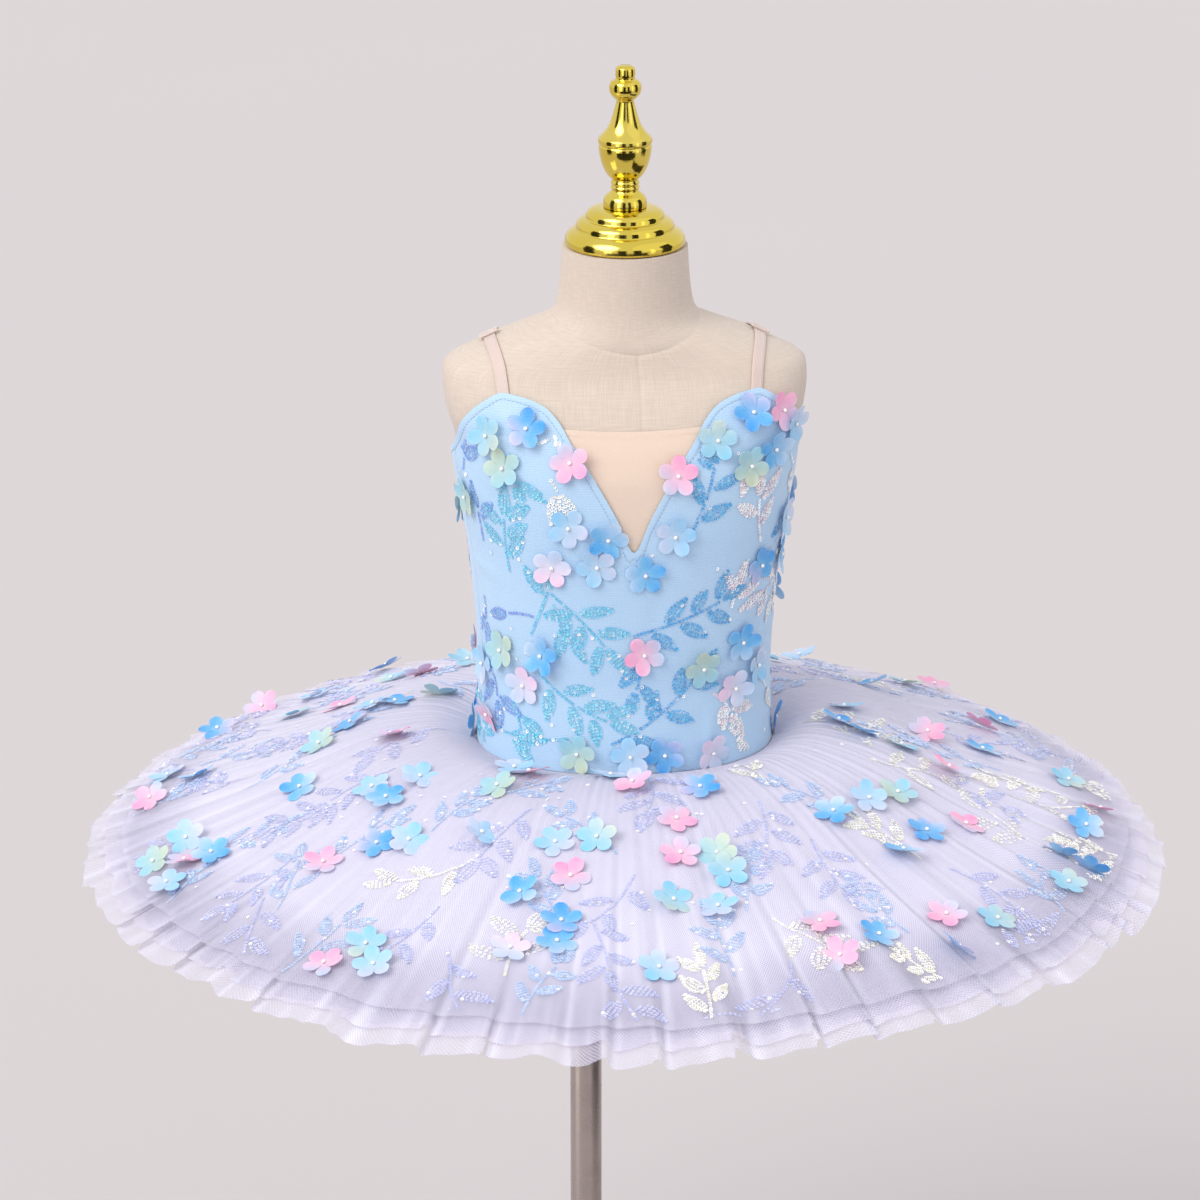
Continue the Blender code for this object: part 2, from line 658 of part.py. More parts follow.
def build_skirt():
    """The overlay with its flowers, and the net layers under it."""
    columns = gather_columns()
    loop = ring_loop(columns, OVERLAY_ROWS, overlay_edge)
    loose = [(bearing, share) for share in OVERLAY_ROWS for bearing in columns[1:-1]]
    flowers = choose_flowers(SKIRT_FLOWERS, overlay_place, SKIRT_GRAIN, loop, SKIRT_FLOWER_SPACING)
    cloth_panel("skirt_overlay", loop, loose, overlay_place, CLOTH_THICKNESS, SKIRT_GRAIN, OVERLAY_NET,
                flowers, 180.0)
    for net in NETS:
        ring_wall(f"skirt_net_{net.order}", columns[:-1], (0.0, *NET_ROWS, net.length), net_place(net), TULLE)


def strap_route(side):
    """Points on the form under a strap's middle, from the bodice's front edge to its back edge."""
    route = []
    y = STRAP_START_Y
    height = STRAP_FRONT_HEIGHT
    heading = math.pi / 2
    while True:
        x = read_curve(STRAP_RUN, y / MM) * MM
        if not route:
            while beyond_form(x, y, height, 0.0) > 1:
                y += STRAP_SEARCH_STEP
                x = read_curve(STRAP_RUN, y / MM) * MM
        route.append(Vector((side * x, y, WAIST_HEIGHT + height)))
        if y > 0 and height < STRAP_BACK_HEIGHT:
            before = route[-2]
            share = (before.z - WAIST_HEIGHT - STRAP_BACK_HEIGHT) / (before.z - WAIST_HEIGHT - height)
            route[-1] = before.lerp(route[-1], share)
            return route
        low = heading + math.radians(STRAP_TURNS[0])
        high = heading + math.radians(STRAP_TURNS[1])
        for _ in range(HALVINGS):
            middle = (low + high) / 2
            next_y = y + STRAP_STEP * math.cos(middle)
            next_height = height + STRAP_STEP * math.sin(middle)
            next_x = read_curve(STRAP_RUN, next_y / MM) * MM
            if beyond_form(next_x, next_y, next_height, 0.0) < 1:
                low = middle
            else:
                high = middle
        heading = (low + high) / 2
        y += STRAP_STEP * math.cos(heading)
        height += STRAP_STEP * math.sin(heading)


def outward_at(place):
    """The direction straight out of the form at a point on its surface."""
    step = SLOPE_STEP
    slope = []
    for axis in range(3):
        change = Vector((0, 0, 0))
        change[axis] = step
        ahead = place + change
        behind = place - change
        slope.append(beyond_form(ahead.x, ahead.y, ahead.z - WAIST_HEIGHT, 0.0)
                     - beyond_form(behind.x, behind.y, behind.z - WAIST_HEIGHT, 0.0))
    return Vector(slope).normalized()


def strap_frames(side):
    """The strap's middle, its outward direction, width direction and run at each point of its route."""
    route = strap_route(side)
    frames = []
    for index, middle in enumerate(route):
        before = route[max(0, index - 1)]
        after = route[min(len(route) - 1, index + 1)]
        along = (after - before).normalized()
        width = along.cross(outward_at(middle)).normalized()
        frames.append((middle, width.cross(along), width, along))
    return frames


def build_strap(name, side):
    """A narrow elastic strap over one shoulder."""
    shape = bmesh.new()
    rings = []
    for middle, outward, width, _ in strap_frames(side):
        half = width * STRAP_WIDTH / 2
        low = middle + outward * STRAP_GAP
        high = middle + outward * (STRAP_GAP + STRAP_THICKNESS)
        rings.append([shape.verts.new(place) for place in (low - half, low + half, high + half, high - half)])
    for ring, later in zip(rings, rings[1:]):
        for corner in range(4):
            after = (corner + 1) % 4
            shape.faces.new((ring[corner], ring[after], later[after], later[corner]))
    shape.faces.new(rings[0])
    shape.faces.new(rings[-1])
    finish(name, shape, ELASTIC, SOFT_ANGLE)


def build_slider(name, side):
    """The adjusting slider on top of the shoulder: a frame of two windows over the strap."""
    frames = strap_frames(side)
    middle, outward, width, along = max(frames, key=lambda frame: frame[0].z)
    seat = middle + outward * (STRAP_GAP + STRAP_THICKNESS + SEAM_GAP)
    columns = (-SLIDER_WIDTH / 2, -SLIDER_WIDTH / 2 + SLIDER_BAR, SLIDER_WIDTH / 2 - SLIDER_BAR, SLIDER_WIDTH / 2)
    half = SLIDER_LENGTH / 2
    rows = (-half, -half + SLIDER_BAR, -SLIDER_BAR / 2, SLIDER_BAR / 2, half - SLIDER_BAR, half)
    windows = ((1, 1), (1, 3))
    shape = bmesh.new()
    corners = [[shape.verts.new(seat + width * x + along * y) for y in rows] for x in columns]
    faces = []
    for column in range(len(columns) - 1):
        for row in range(len(rows) - 1):
            if (column, row) not in windows:
                faces.append(shape.faces.new((corners[column][row], corners[column + 1][row],
                                              corners[column + 1][row + 1], corners[column][row + 1])))
    raised = bmesh.ops.extrude_face_region(shape, geom=faces, use_keep_orig=True)
    lifted = [item for item in raised["geom"] if isinstance(item, bmesh.types.BMVert)]
    bmesh.ops.translate(shape, verts=lifted, vec=outward * SLIDER_THICKNESS)
    finish(name, shape, SLIDER_PLASTIC)


def build_form():
    """The linen-covered body: a stack of rounded sections from the hips to the top of the neck."""
    shape = bmesh.new()
    turns = [360 * column / FORM_COLUMNS for column in range(FORM_COLUMNS)]
    rings = []
    for row in FORM_SECTIONS:
        rings.append([shape.verts.new(body_point(turn, row.height * MM, 0.0)) for turn in turns])
    for lower, upper in zip(rings, rings[1:]):
        for column in range(FORM_COLUMNS):
            after = (column + 1) % FORM_COLUMNS
            shape.faces.new((lower[column], lower[after], upper[after], upper[column]))
    shape.faces.new(rings[0])
    shape.faces.new(rings[-1])
    finish("form_torso", shape, LINEN, 60)


def build_stand():
    """Brass cap and finial over the neck; pole, collar and base under the form."""
    cap = [(radius * MM, WAIST_HEIGHT + height * MM) for radius, height in CAP_PROFILE]
    finial = [(radius * MM, WAIST_HEIGHT + height * MM) for radius, height in FINIAL_PROFILE]
    lathe("neck_cap", cap, CAP_SIDES, 0.0, BRASS)
    lathe("finial", finial, FINIAL_SIDES, 0.0, BRASS, 40)
    foot = BASE_THICKNESS + SEAM_GAP
    head = WAIST_HEIGHT + FORM_SECTIONS[0].height * MM - SEAM_GAP
    lathe("pole", [(POLE_RADIUS, foot), (POLE_RADIUS, head)], POLE_SIDES, POLE_X, STEEL)
    base = [(BASE_RADIUS, 0.0), (BASE_RADIUS, BASE_THICKNESS - BASE_CHAMFER),
            (BASE_RADIUS - BASE_CHAMFER, BASE_THICKNESS)]
    lathe("base_plate", base, BASE_SIDES, POLE_X, STEEL, 50)
    build_collar(foot)


def build_collar(foot):
    """The ring that holds the pole upright on the base."""
    bore = POLE_RADIUS + SEAM_GAP
    head = foot + COLLAR_HEIGHT
    profile = [(bore, foot), (COLLAR_RADIUS, foot), (COLLAR_RADIUS, head - COLLAR_CHAMFER),
               (COLLAR_RADIUS - COLLAR_CHAMFER, head), (bore, head)]
    shape = bmesh.new()
    rings = []
    for radius, height in profile:
        turns = [2 * math.pi * side / POLE_SIDES for side in range(POLE_SIDES)]
        rings.append([shape.verts.new((POLE_X + radius * math.cos(turn), radius * math.sin(turn), height))
                      for turn in turns])
    for ring, later in zip(rings, rings[1:] + rings[:1]):
        for side in range(POLE_SIDES):
            after = (side + 1) % POLE_SIDES
            shape.faces.new((ring[side], ring[after], later[after], later[side]))
    finish("pole_collar", shape, STEEL, 50)


def main():
    """Build every piece."""
    clear_scene()
    build_form()
    build_stand()
    build_neck_insert()
    build_bodice_front()
    build_bodice_back()
    build_brief()
    build_gusset()
    build_skirt()
    for word, side in (("left", -1), ("right", 1)):
        build_strap(f"strap_{word}", side)
        build_slider(f"slider_{word}", side)


main()
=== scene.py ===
"""Looks of a child's pancake tutu dress that stands on a linen dress form with a turned brass finial.

The front faces -Y, +X is the viewer's right and +Z is up; units are metres. Bearings are degrees round the
body: 0 is the centre front, 90 is the viewer's right. Heights "over the seam" are measured from the waist
seam. On the skirt, a share is how far out a point lies: 0 at the waist, 1 at the overlay's own radius.
"""
import logging
import math
from contextlib import contextmanager
from dataclasses import dataclass
from enum import Enum
from typing import Callable, Iterator, Sequence

import bpy
import numpy as np
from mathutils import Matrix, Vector


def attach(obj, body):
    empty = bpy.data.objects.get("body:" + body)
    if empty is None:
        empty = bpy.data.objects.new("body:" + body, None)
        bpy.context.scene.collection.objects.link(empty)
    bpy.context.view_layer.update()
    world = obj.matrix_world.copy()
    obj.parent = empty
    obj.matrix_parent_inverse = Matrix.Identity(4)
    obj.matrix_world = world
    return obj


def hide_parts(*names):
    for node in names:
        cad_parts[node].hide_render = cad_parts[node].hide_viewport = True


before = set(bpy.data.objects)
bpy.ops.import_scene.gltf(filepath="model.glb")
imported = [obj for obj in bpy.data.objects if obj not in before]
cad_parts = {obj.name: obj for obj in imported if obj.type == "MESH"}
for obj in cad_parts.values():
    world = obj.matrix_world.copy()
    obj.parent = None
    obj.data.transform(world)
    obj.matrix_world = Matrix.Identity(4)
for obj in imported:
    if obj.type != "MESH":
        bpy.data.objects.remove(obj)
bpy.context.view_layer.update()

LOG = logging.getLogger("tutu")
MM = 0.001
WAIST = 0.720
CLOTH_PER_DEGREE = 1.7 * MM
Array = np.ndarray
Piece = bpy.types.Object
Material = bpy.types.Material
Pair = tuple[float, float]
Triple = tuple[float, float, float]
Curve = tuple[Pair, ...]
Place = Callable[[Array, Array, Array], Array]


# ---------------- numbers and curves


def linear(red: int, green: int, blue: int) -> Triple:
    """A colour on the screen's scale of 0 to 255, made linear: three shares of 0 to 1."""
    return tuple(((share / 255 + 0.055) / 1.055) ** 2.4 for share in (red, green, blue))


def scaled(colour: Sequence[float], factor: float) -> tuple[float, ...]:
    """A lighter or darker form of a linear colour."""
    return tuple(min(1.0, share * factor) for share in colour)


def smooth_read(rows: Sequence[Pair], at: Array, level_start: bool = False) -> Array:
    """Read a smooth curve through a table's rows, which never overshoots them.

    Args:
        rows: The table, (place, value) in rising order.
        at: The places to read.
        level_start: Whether the curve starts level, as one mirrored at its start does.

    Returns:
        The values there.
    """
    x = np.array([row[0] for row in rows], float)
    y = np.array([row[1] for row in rows], float)
    step = np.diff(x)
    slope = np.diff(y) / step
    tangent = np.zeros_like(y)
    before, after = 2 * step[1:] + step[:-1], step[1:] + 2 * step[:-1]
    rising = slope[1:] * slope[:-1] > 0
    safe = np.where(rising, slope[:-1], 1), np.where(rising, slope[1:], 1)
    tangent[1:-1] = np.where(rising, (before + after) / (before / safe[0] + after / safe[1]), 0)
    tangent[0] = 0 if level_start else slope[0]
    tangent[-1] = slope[-1]
    at = np.clip(at, x[0], x[-1])
    index = np.clip(np.searchsorted(x, at, side="right") - 1, 0, len(x) - 2)
    share = (at - x[index]) / step[index]
    square, cube = share ** 2, share ** 3
    return (
        (2 * cube - 3 * square + 1) * y[index]
        + (cube - 2 * square + share) * step[index] * tangent[index]
        + (3 * square - 2 * cube) * y[index + 1]
        + (cube - square) * step[index] * tangent[index + 1]
    )


def ease(low: float, high: float, at: Array) -> Array:
    """A soft step from 0 at low to 1 at high."""
    share = np.clip((np.asarray(at, float) - low) / (high - low), 0, 1)
    return share * share * (3 - 2 * share)


def bell(offset: Array, width: float) -> Array:
    """A soft hump, 1 at no offset, that fades over its width."""
    return np.exp(-((offset / width) ** 2))


def degrees_from(bearing: Array, middle: float = 0.0) -> Array:
    """Degrees from a middle bearing to another, -180 to 180."""
    return (np.asarray(bearing, float) - middle + 180) % 360 - 180


def run_along(line: Array) -> Array:
    """How far along a line each of its points, (n, 3), lies."""
    return np.concatenate(([0], np.cumsum(np.linalg.norm(np.diff(line, axis=0), axis=1))))


# ---------------- meshes


def link(name: str, data: bpy.types.ID) -> Piece:
    """Put an object made of some data into the scene."""
    made = bpy.data.objects.new(name, data)
    bpy.context.scene.collection.objects.link(made)
    return made


def deselect_all() -> None:
    """Leave nothing selected, since an operator acts on all that is."""
    for item in bpy.context.selected_objects:
        item.select_set(False)


def make_active(piece: Piece) -> None:
    """Select one piece alone and make it the active one."""
    deselect_all()
    piece.select_set(True)
    bpy.context.view_layer.objects.active = piece


@contextmanager
def editing(piece: Piece) -> Iterator[None]:
    """Edit one piece, with all of it selected."""
    make_active(piece)
    bpy.ops.object.mode_set(mode="EDIT")
    bpy.ops.mesh.select_all(action="SELECT")
    yield
    bpy.ops.object.mode_set(mode="OBJECT")


def apply_modifier(piece: Piece, kind: str, **settings: float | bool | str) -> None:
    """Add a modifier and apply it.

    Args:
        piece: The piece to change.
        kind: The modifier's type.
        settings: The modifier's own settings.
    """
    make_active(piece)
    modifier = piece.modifiers.new(kind, kind)
    for key, value in settings.items():
        setattr(modifier, key, value)
    bpy.ops.object.modifier_apply(modifier=modifier.name)


def face_outwards(piece: Piece) -> None:
    """Turn every face of a closed piece outwards."""
    with editing(piece):
        bpy.ops.mesh.normals_make_consistent(inside=False)


def fill_holes(piece: Piece, sides: int = 0) -> None:
    """Close a piece's holes of up to so many sides; 0 closes all."""
    with editing(piece):
        bpy.ops.mesh.fill_holes(sides=sides)


def delete_faces(piece: Piece, doomed: Callable[[bpy.types.MeshPolygon], bool], kind: str) -> None:
    """Delete the faces that a test picks.

    Args:
        piece: The piece to change.
        doomed: Tells whether a face goes.
        kind: What is deleted: FACE with its loose edges, or ONLY_FACE.
    """
    make_active(piece)
    for item in (*piece.data.vertices, *piece.data.edges):
        item.select = False
    for face in piece.data.polygons:
        face.select = doomed(face)
    bpy.context.tool_settings.mesh_select_mode = (False, False, True)
    bpy.ops.object.mode_set(mode="EDIT")
    bpy.ops.mesh.delete(type=kind)
    bpy.ops.object.mode_set(mode="OBJECT")
    bpy.context.tool_settings.mesh_select_mode = (True, False, False)


def smooth(piece: Piece, angle: float = 40.0) -> None:
    """Shade a piece smooth, but for edges sharper than an angle in degrees."""
    make_active(piece)
    bpy.ops.object.shade_smooth_by_angle(angle=math.radians(angle))


def sheet(name: str, points: Array, cloth: Array, ring: bool = False, turned: bool = False) -> Piece:
    """Make a sheet of quads through a grid of points, with its cloth's own coordinates.

    Args:
        name: The piece's name.
        points: The grid, (rows, columns, 3).
        cloth: Each point's place on the flat cloth in metres; a ring's has one more column.
        ring: Whether the last column joins the first.
        turned: Whether the faces are turned over.

    Returns:
        The sheet, one face thick.
    """
    rows, columns = points.shape[:2]
    index = np.arange(rows * columns).reshape(rows, columns)
    here = index if ring else index[:, :-1]
    after = np.roll(index, -1, axis=1) if ring else index[:, 1:]
    quads = np.stack((here[:-1], after[:-1], after[1:], here[1:]), axis=-1).reshape(-1, 4)
    corners = np.stack((cloth[:-1, :-1], cloth[:-1, 1:], cloth[1:, 1:], cloth[1:, :-1]), axis=2).reshape(-1, 4, 2)
    if turned:
        quads, corners = quads[:, ::-1], corners[:, ::-1]
    mesh = bpy.data.meshes.new(name)
    mesh.from_pydata(points.reshape(-1, 3).tolist(), [], quads.tolist())
    mesh.uv_layers.new(name="Cloth").data.foreach_set("uv", corners.reshape(-1).astype(np.float32))
    mesh.shade_smooth()
    return link(name, mesh)


def join_round(cloth: Array, width: float) -> Array:
    """Add a ring's last column to its cloth: the first, one turn further on."""
    return np.concatenate((cloth, cloth[:, :1] + (width, 0)), axis=1)


def thicken(piece: Piece, thickness: float) -> None:
    """Give a sheet its thickness, behind its face."""
    apply_modifier(piece, "SOLIDIFY", thickness=thickness, offset=-1.0, use_rim=True)


def turned_piece(
    name: str, profile: Sequence[Pair], sides: int, centre_x: float = 0.0, angle: float = 35.0
) -> Piece:
    """Turn a profile as on a lathe: a disc's face is drawn up and resized, ring by ring.

    Args:
        name: The piece's name.
        profile: (radius, world height) in metres, from the bottom up.
        sides: How many sides it has.
        centre_x: Where its axis stands.
        angle: Edges sharper than this many degrees stay sharp.

    Returns:
        The closed, smooth-shaded piece.
    """
    deselect_all()
    radius, height = profile[0]
    bpy.ops.mesh.primitive_circle_add(
        vertices=sides, radius=radius, fill_type="NGON", location=(centre_x, 0, height)
    )
    piece = bpy.context.object
    piece.name = piece.data.name = name
    with editing(piece):
        for next_radius, next_height in profile[1:]:
            bpy.ops.mesh.extrude_region_move(TRANSFORM_OT_translate={"value": (0, 0, next_height - height)})
            ratio = next_radius / radius
            bpy.ops.transform.resize(value=(ratio, ratio, 1), center_override=(centre_x, 0, next_height))
            radius, height = next_radius, next_height
    bpy.ops.object.transform_apply(location=True, rotation=True, scale=True)
    face_outwards(piece)
    smooth(piece, angle)
    return piece


def rounded_profile(profile: Sequence[Pair], steps: int = 3) -> list[Pair]:
    """Round a turned profile's corners a little, as polishing does.

    Args:
        profile: (radius, height) points.
        steps: How many pieces each stretch is cut into.

    Returns:
        The finer profile.
    """
    points = np.array(profile)
    run = np.concatenate(([0], np.cumsum(np.hypot(*np.diff(points, axis=0).T))))
    fine = np.concatenate([np.linspace(a, b, steps, endpoint=False) for a, b in zip(run, run[1:])] + [run[-1:]])
    radii = smooth_read(list(zip(run, points[:, 0])), fine)
    heights = smooth_read(list(zip(run, points[:, 1])), fine)
    return list(zip(radii.tolist(), heights.tolist()))


def copies(
    name: str, shape: Array, faces: Array, origins: Array, axes: Array, tints: Array | None = None
) -> Piece:
    """Join many copies of one small shape into a mesh.

    Args:
        name: The piece's name.
        shape: The shape's points, (points, 3), or each copy's own, (copies, points, 3).
        faces: Its faces, four corners each.
        origins: Each copy's place, (copies, 3).
        axes: Each copy's x, y and z directions, (copies, 3, 3).
        tints: Each copy's colour, or one for each point, linear; a fourth number is its cover.

    Returns:
        The joined piece, with the colours in its attribute "tint".
    """
    count, size = len(origins), shape.shape[-2]
    local = np.broadcast_to(shape, (count, size, 3))
    points = origins[:, None, :] + np.einsum("cpk,ckx->cpx", local, axes)
    corners = (faces[None] + (np.arange(count) * size)[:, None, None]).reshape(-1, faces.shape[1])
    mesh = bpy.data.meshes.new(name)
    mesh.from_pydata(points.reshape(-1, 3).tolist(), [], corners.tolist())
    if tints is not None:
        colours = tints if tints.ndim == 3 else np.broadcast_to(tints[:, None, :], (count, size, tints.shape[1]))
        if colours.shape[2] == 3:
            colours = np.concatenate((colours, np.ones((count, size, 1))), axis=2)
        layer = mesh.attributes.new("tint", "FLOAT_COLOR", "POINT")
        layer.data.foreach_set("color", colours.reshape(-1).astype(np.float32))
    return link(name, mesh)


# ---------------- shaders


class Value:
    """A socket in a material's tree, whose arithmetic adds Math nodes."""

    def __init__(self, paint: "Paint", socket: bpy.types.NodeSocket) -> None:
        """Wrap a socket of a material under construction."""
        self.paint = paint
        self.socket = socket

    def _math(self, operation: str, *values: "Value | float") -> "Value":
        """Add one Math node."""
        return self.paint.node("ShaderNodeMath", {"operation": operation}, dict(enumerate(values)))

    def __add__(self, other: "Value | float") -> "Value":
        """Sum."""
        return self._math("ADD", self, other)

    __radd__ = __add__

    def __sub__(self, other: "Value | float") -> "Value":
        """Difference."""
        return self._math("SUBTRACT", self, other)

    def __rsub__(self, other: float) -> "Value":
        """Difference from a number."""
        return self._math("SUBTRACT", other, self)

    def __mul__(self, other: "Value | float") -> "Value":
        """Product."""
        return self._math("MULTIPLY", self, other)

    __rmul__ = __mul__

    def __abs__(self) -> "Value":
        """Size without its sign."""
        return self._math("ABSOLUTE", self)

    def sine(self) -> "Value":
        """Sine of an angle in radians."""
        return self._math("SINE", self)

    def most(self, other: "Value | float") -> "Value":
        """The greater of two."""
        return self._math("MAXIMUM", self, other)

    def step(self, low: float, high: float) -> "Value":
        """A soft step from 0 at low to 1 at high."""
        settings = {"interpolation_type": "SMOOTHSTEP"}
        return self.paint.node("ShaderNodeMapRange", settings, {"Value": self, "From Min": low, "From Max": high})


class Paint:
    """A material under construction: its nodes, and the shader that they feed."""

    def __init__(self, name: str) -> None:
        """Start a material with its shader alone."""
        self.material = bpy.data.materials.new(name)
        self.material.use_nodes = True
        self.tree = self.material.node_tree
        self.shader = self.tree.nodes["Principled BSDF"]

    def node(
        self, kind: str, settings: dict[str, object] | None = None, inputs: dict[str | int, object] | None = None,
        output: str | int = 0,
    ) -> Value:
        """Add a node.

        Args:
            kind: The node's type.
            settings: Its own settings, set first; "stops" are a ramp's (place, colour) pairs.
            inputs: A value or a link for each socket, by name or number.
            output: Which of its outputs to return.

        Returns:
            The output's socket.
        """
        made = self.tree.nodes.new(kind)
        for key, value in (settings or {}).items():
            if key == "stops":
                self._set_stops(made, value)
            else:
                setattr(made, key, value)
        for key, value in (inputs or {}).items():
            self._feed(made.inputs[key], value)
        return Value(self, made.outputs[output])

    @staticmethod
    def _set_stops(made: bpy.types.Node, stops: Sequence[tuple[float, Triple]]) -> None:
        """Set a colour ramp's stops."""
        elements = made.color_ramp.elements
        while len(elements) < len(stops):
            elements.new(1.0)
        for element, (place, colour) in zip(elements, stops):
            element.position = place
            element.color = (*colour, 1)

    def _feed(self, socket: bpy.types.NodeSocket, value: object) -> None:
        """Link a socket to a value, or set its number or colour."""
        if isinstance(value, Value):
            self.tree.links.new(value.socket, socket)
        elif isinstance(value, tuple) and len(value) == 3 and len(socket.default_value) == 4:
            socket.default_value = (*value, 1)
        else:
            socket.default_value = value

    def mix(self, share: Value | float, first: object, second: object) -> Value:
        """Blend two colours: all of the first where the share is 0."""
        return self.node("ShaderNodeMix", {"data_type": "RGBA"}, {0: share, 6: first, 7: second}, 2)

    def cloth_axes(self) -> tuple[Value, Value]:
        """The place on the flat cloth, across and along, in metres."""
        place = self.node("ShaderNodeUVMap", {"uv_map": "Cloth"})
        parts = self.tree.nodes.new("ShaderNodeSeparateXYZ")
        self.tree.links.new(place.socket, parts.inputs[0])
        return Value(self, parts.outputs[0]), Value(self, parts.outputs[1])

    def vector(self, across: Value, along: Value) -> Value:
        """Join two numbers into a vector."""
        return self.node("ShaderNodeCombineXYZ", None, {0: across, 1: along})

    def object_place(self) -> Value:
        """The place on the object, in metres."""
        return self.node("ShaderNodeTexCoord", None, None, "Object")

    def noise(self, place: Value, scale: float, detail: float = 2.0) -> Value:
        """Soft noise around 0.5 at a place."""
        return self.node("ShaderNodeTexNoise", None, {"Vector": place, "Scale": scale, "Detail": detail})

    def attribute(self, name: str, output: str) -> Value:
        """One of the piece's own values at each point."""
        return self.node("ShaderNodeAttribute", {"attribute_name": name}, None, output)

    def bump(self, height: Value, depth: float) -> Value:
        """A normal from a height of 0 to 1 over a depth in metres."""
        return self.node("ShaderNodeBump", None, {"Height": height, "Distance": depth})

    def finish(self, **sockets: object) -> Material:
        """Feed the shader and close the material.

        Args:
            sockets: A value or a link for each of the shader's sockets; an underscore stands for a space.

        Returns:
            The finished material.
        """
        for key, value in sockets.items():
            self._feed(self.shader.inputs[key.replace("_", " ")], value)
        return self.material


@dataclass(frozen=True)
class Linen:
    """Plain-woven linen with slubs, pulled over the form."""

    colour: Triple = linear(206, 191, 176)
    thread: float = 0.8 * MM
    relief: float = 0.1 * MM

    def material(self) -> Material:
        """Make the finish."""
        paint = Paint("linen")
        across, along = paint.cloth_axes()
        turn = math.pi / self.thread
        weave = (across * turn).sine() * (along * turn).sine()
        warp_slub = paint.noise(paint.vector(across * 1500, along * 60), 1.0, 3)
        weft_slub = paint.noise(paint.vector(across * 60, along * 1500), 1.0, 3)
        slub = warp_slub + weft_slub - 0.5
        cloud = paint.noise(paint.object_place(), 9)
        colour = paint.mix(slub.step(0.25, 0.8), scaled(self.colour, 0.91), scaled(self.colour, 1.05))
        colour = paint.mix(cloud.step(0.35, 0.75) * 0.25, colour, self.colour)
        height = weave * 0.35 + slub
        return paint.finish(Base_Color=colour, Roughness=0.85, Normal=paint.bump(height, self.relief),
                            Sheen_Weight=0.15, Sheen_Roughness=0.6)


@dataclass(frozen=True)
class StretchCloth:
    """Fine stretch cloth under a close net, as the bodice and its insert have."""

    name: str
    colour: Triple
    shade: Triple
    mesh: float = 1.1 * MM
    relief: float = 0.1 * MM

    def material(self) -> Material:
        """Make the finish."""
        paint = Paint(self.name)
        across, along = paint.cloth_axes()
        turn = 2 * math.pi / self.mesh
        net = abs((across * turn).sine()).most(abs((along * turn * 0.5).sine()))
        fuzz = paint.noise(paint.vector(across, along), 900, 3)
        cloud = paint.noise(paint.object_place(), 14, 3)
        mask = net.step(0.55, 1.0) * 0.5 + fuzz.step(0.35, 0.7) * 0.35 + cloud.step(0.35, 0.7) * 0.15
        colour = paint.mix(mask, self.shade, self.colour)
        return paint.finish(Base_Color=colour, Roughness=0.62, Normal=paint.bump(net * 0.7 + fuzz, self.relief),
                            Sheen_Weight=0.35, Sheen_Roughness=0.45)


@dataclass(frozen=True)
class Tulle:
    """See-through diamond net: threads with gaps between them, and a painted highlight along folds."""

    name: str
    colour: Triple
    pitch: float
    inner_cover: float
    edge_cover: float
    fade: Pair

    def material(self) -> Material:
        """Make the finish."""
        paint = Paint(self.name)
        across, along = paint.cloth_axes()
        turn = math.pi / self.pitch
        first = abs(((across + along) * turn).sine())
        second = abs(((across - along) * turn).sine())
        gap = first.step(0.12, 0.62) * second.step(0.12, 0.62)
        cloud = paint.noise(paint.object_place(), 22)
        base = along.step(*self.fade) * (self.edge_cover - self.inner_cover) + self.inner_cover
        cover = base + (1 - gap) * 0.22 - 0.11
        colour = paint.mix(gap * 0.75 + cloud.step(0.3, 0.75) * 0.15, self.colour, scaled(self.colour, 0.77))
        fold = paint.attribute("fold", "Fac")
        # Painted highlight: the net is lightened towards near white where the fold mask is high; the cover added to
        # Alpha stands for the doubled net.
        colour = paint.mix(fold * 0.7, colour, linear(247, 246, 255))
        return paint.finish(Base_Color=colour, Roughness=0.6, Alpha=cover + fold * 0.25,
                            Normal=paint.bump(1 - gap, 0.1 * MM), Sheen_Weight=0.3, Sheen_Roughness=0.4)


@dataclass(frozen=True)
class Organza:
    """Thin dyed organza, a little see-through, with fine threads from base to tip."""

    def material(self) -> Material:
        """Make the finish."""
        paint = Paint("petal_organza")
        fine = paint.noise(paint.object_place(), 1400, 2)
        colour = paint.mix(fine.step(0.4, 0.75) * 0.14, paint.attribute("tint", "Color"), (0.95, 0.97, 1.0))
        return paint.finish(Base_Color=colour, Roughness=0.6, Normal=paint.bump(fine, 0.05 * MM),
                            Alpha=paint.attribute("tint", "Alpha"), Specular_IOR_Level=0.3, Sheen_Weight=0.3,
                            Sheen_Roughness=0.35)


@dataclass(frozen=True)
class Sequin:
    """Thin glossy plastic whose colour shifts from disc to disc."""

    name: str
    metallic: float
    alpha: float

    def material(self) -> Material:
        """Make the finish."""
        paint = Paint(self.name)
        flake = paint.noise(paint.object_place(), 420, 1)
        colour = paint.mix(flake.step(0.52, 0.7) * 0.35, paint.attribute("tint", "Color"), (1.0, 0.98, 0.95))
        return paint.finish(Base_Color=colour, Roughness=flake.step(0.3, 0.8) * 0.2 + 0.14, Metallic=self.metallic,
                            Alpha=self.alpha, Coat_Weight=0.6, Coat_Roughness=0.08)


@dataclass(frozen=True)
class Pearl:
    """Pearly white bead."""

    def material(self) -> Material:
        """Make the finish."""
        paint = Paint("pearl")
        swirl = paint.noise(paint.object_place(), 500, 2)
        colour = paint.mix(swirl.step(0.35, 0.65), linear(238, 232, 236), linear(255, 252, 246))
        return paint.finish(Base_Color=colour, Roughness=0.22, Coat_Weight=0.7, Coat_Roughness=0.1,
                            Normal=paint.bump(swirl, 0.02 * MM))


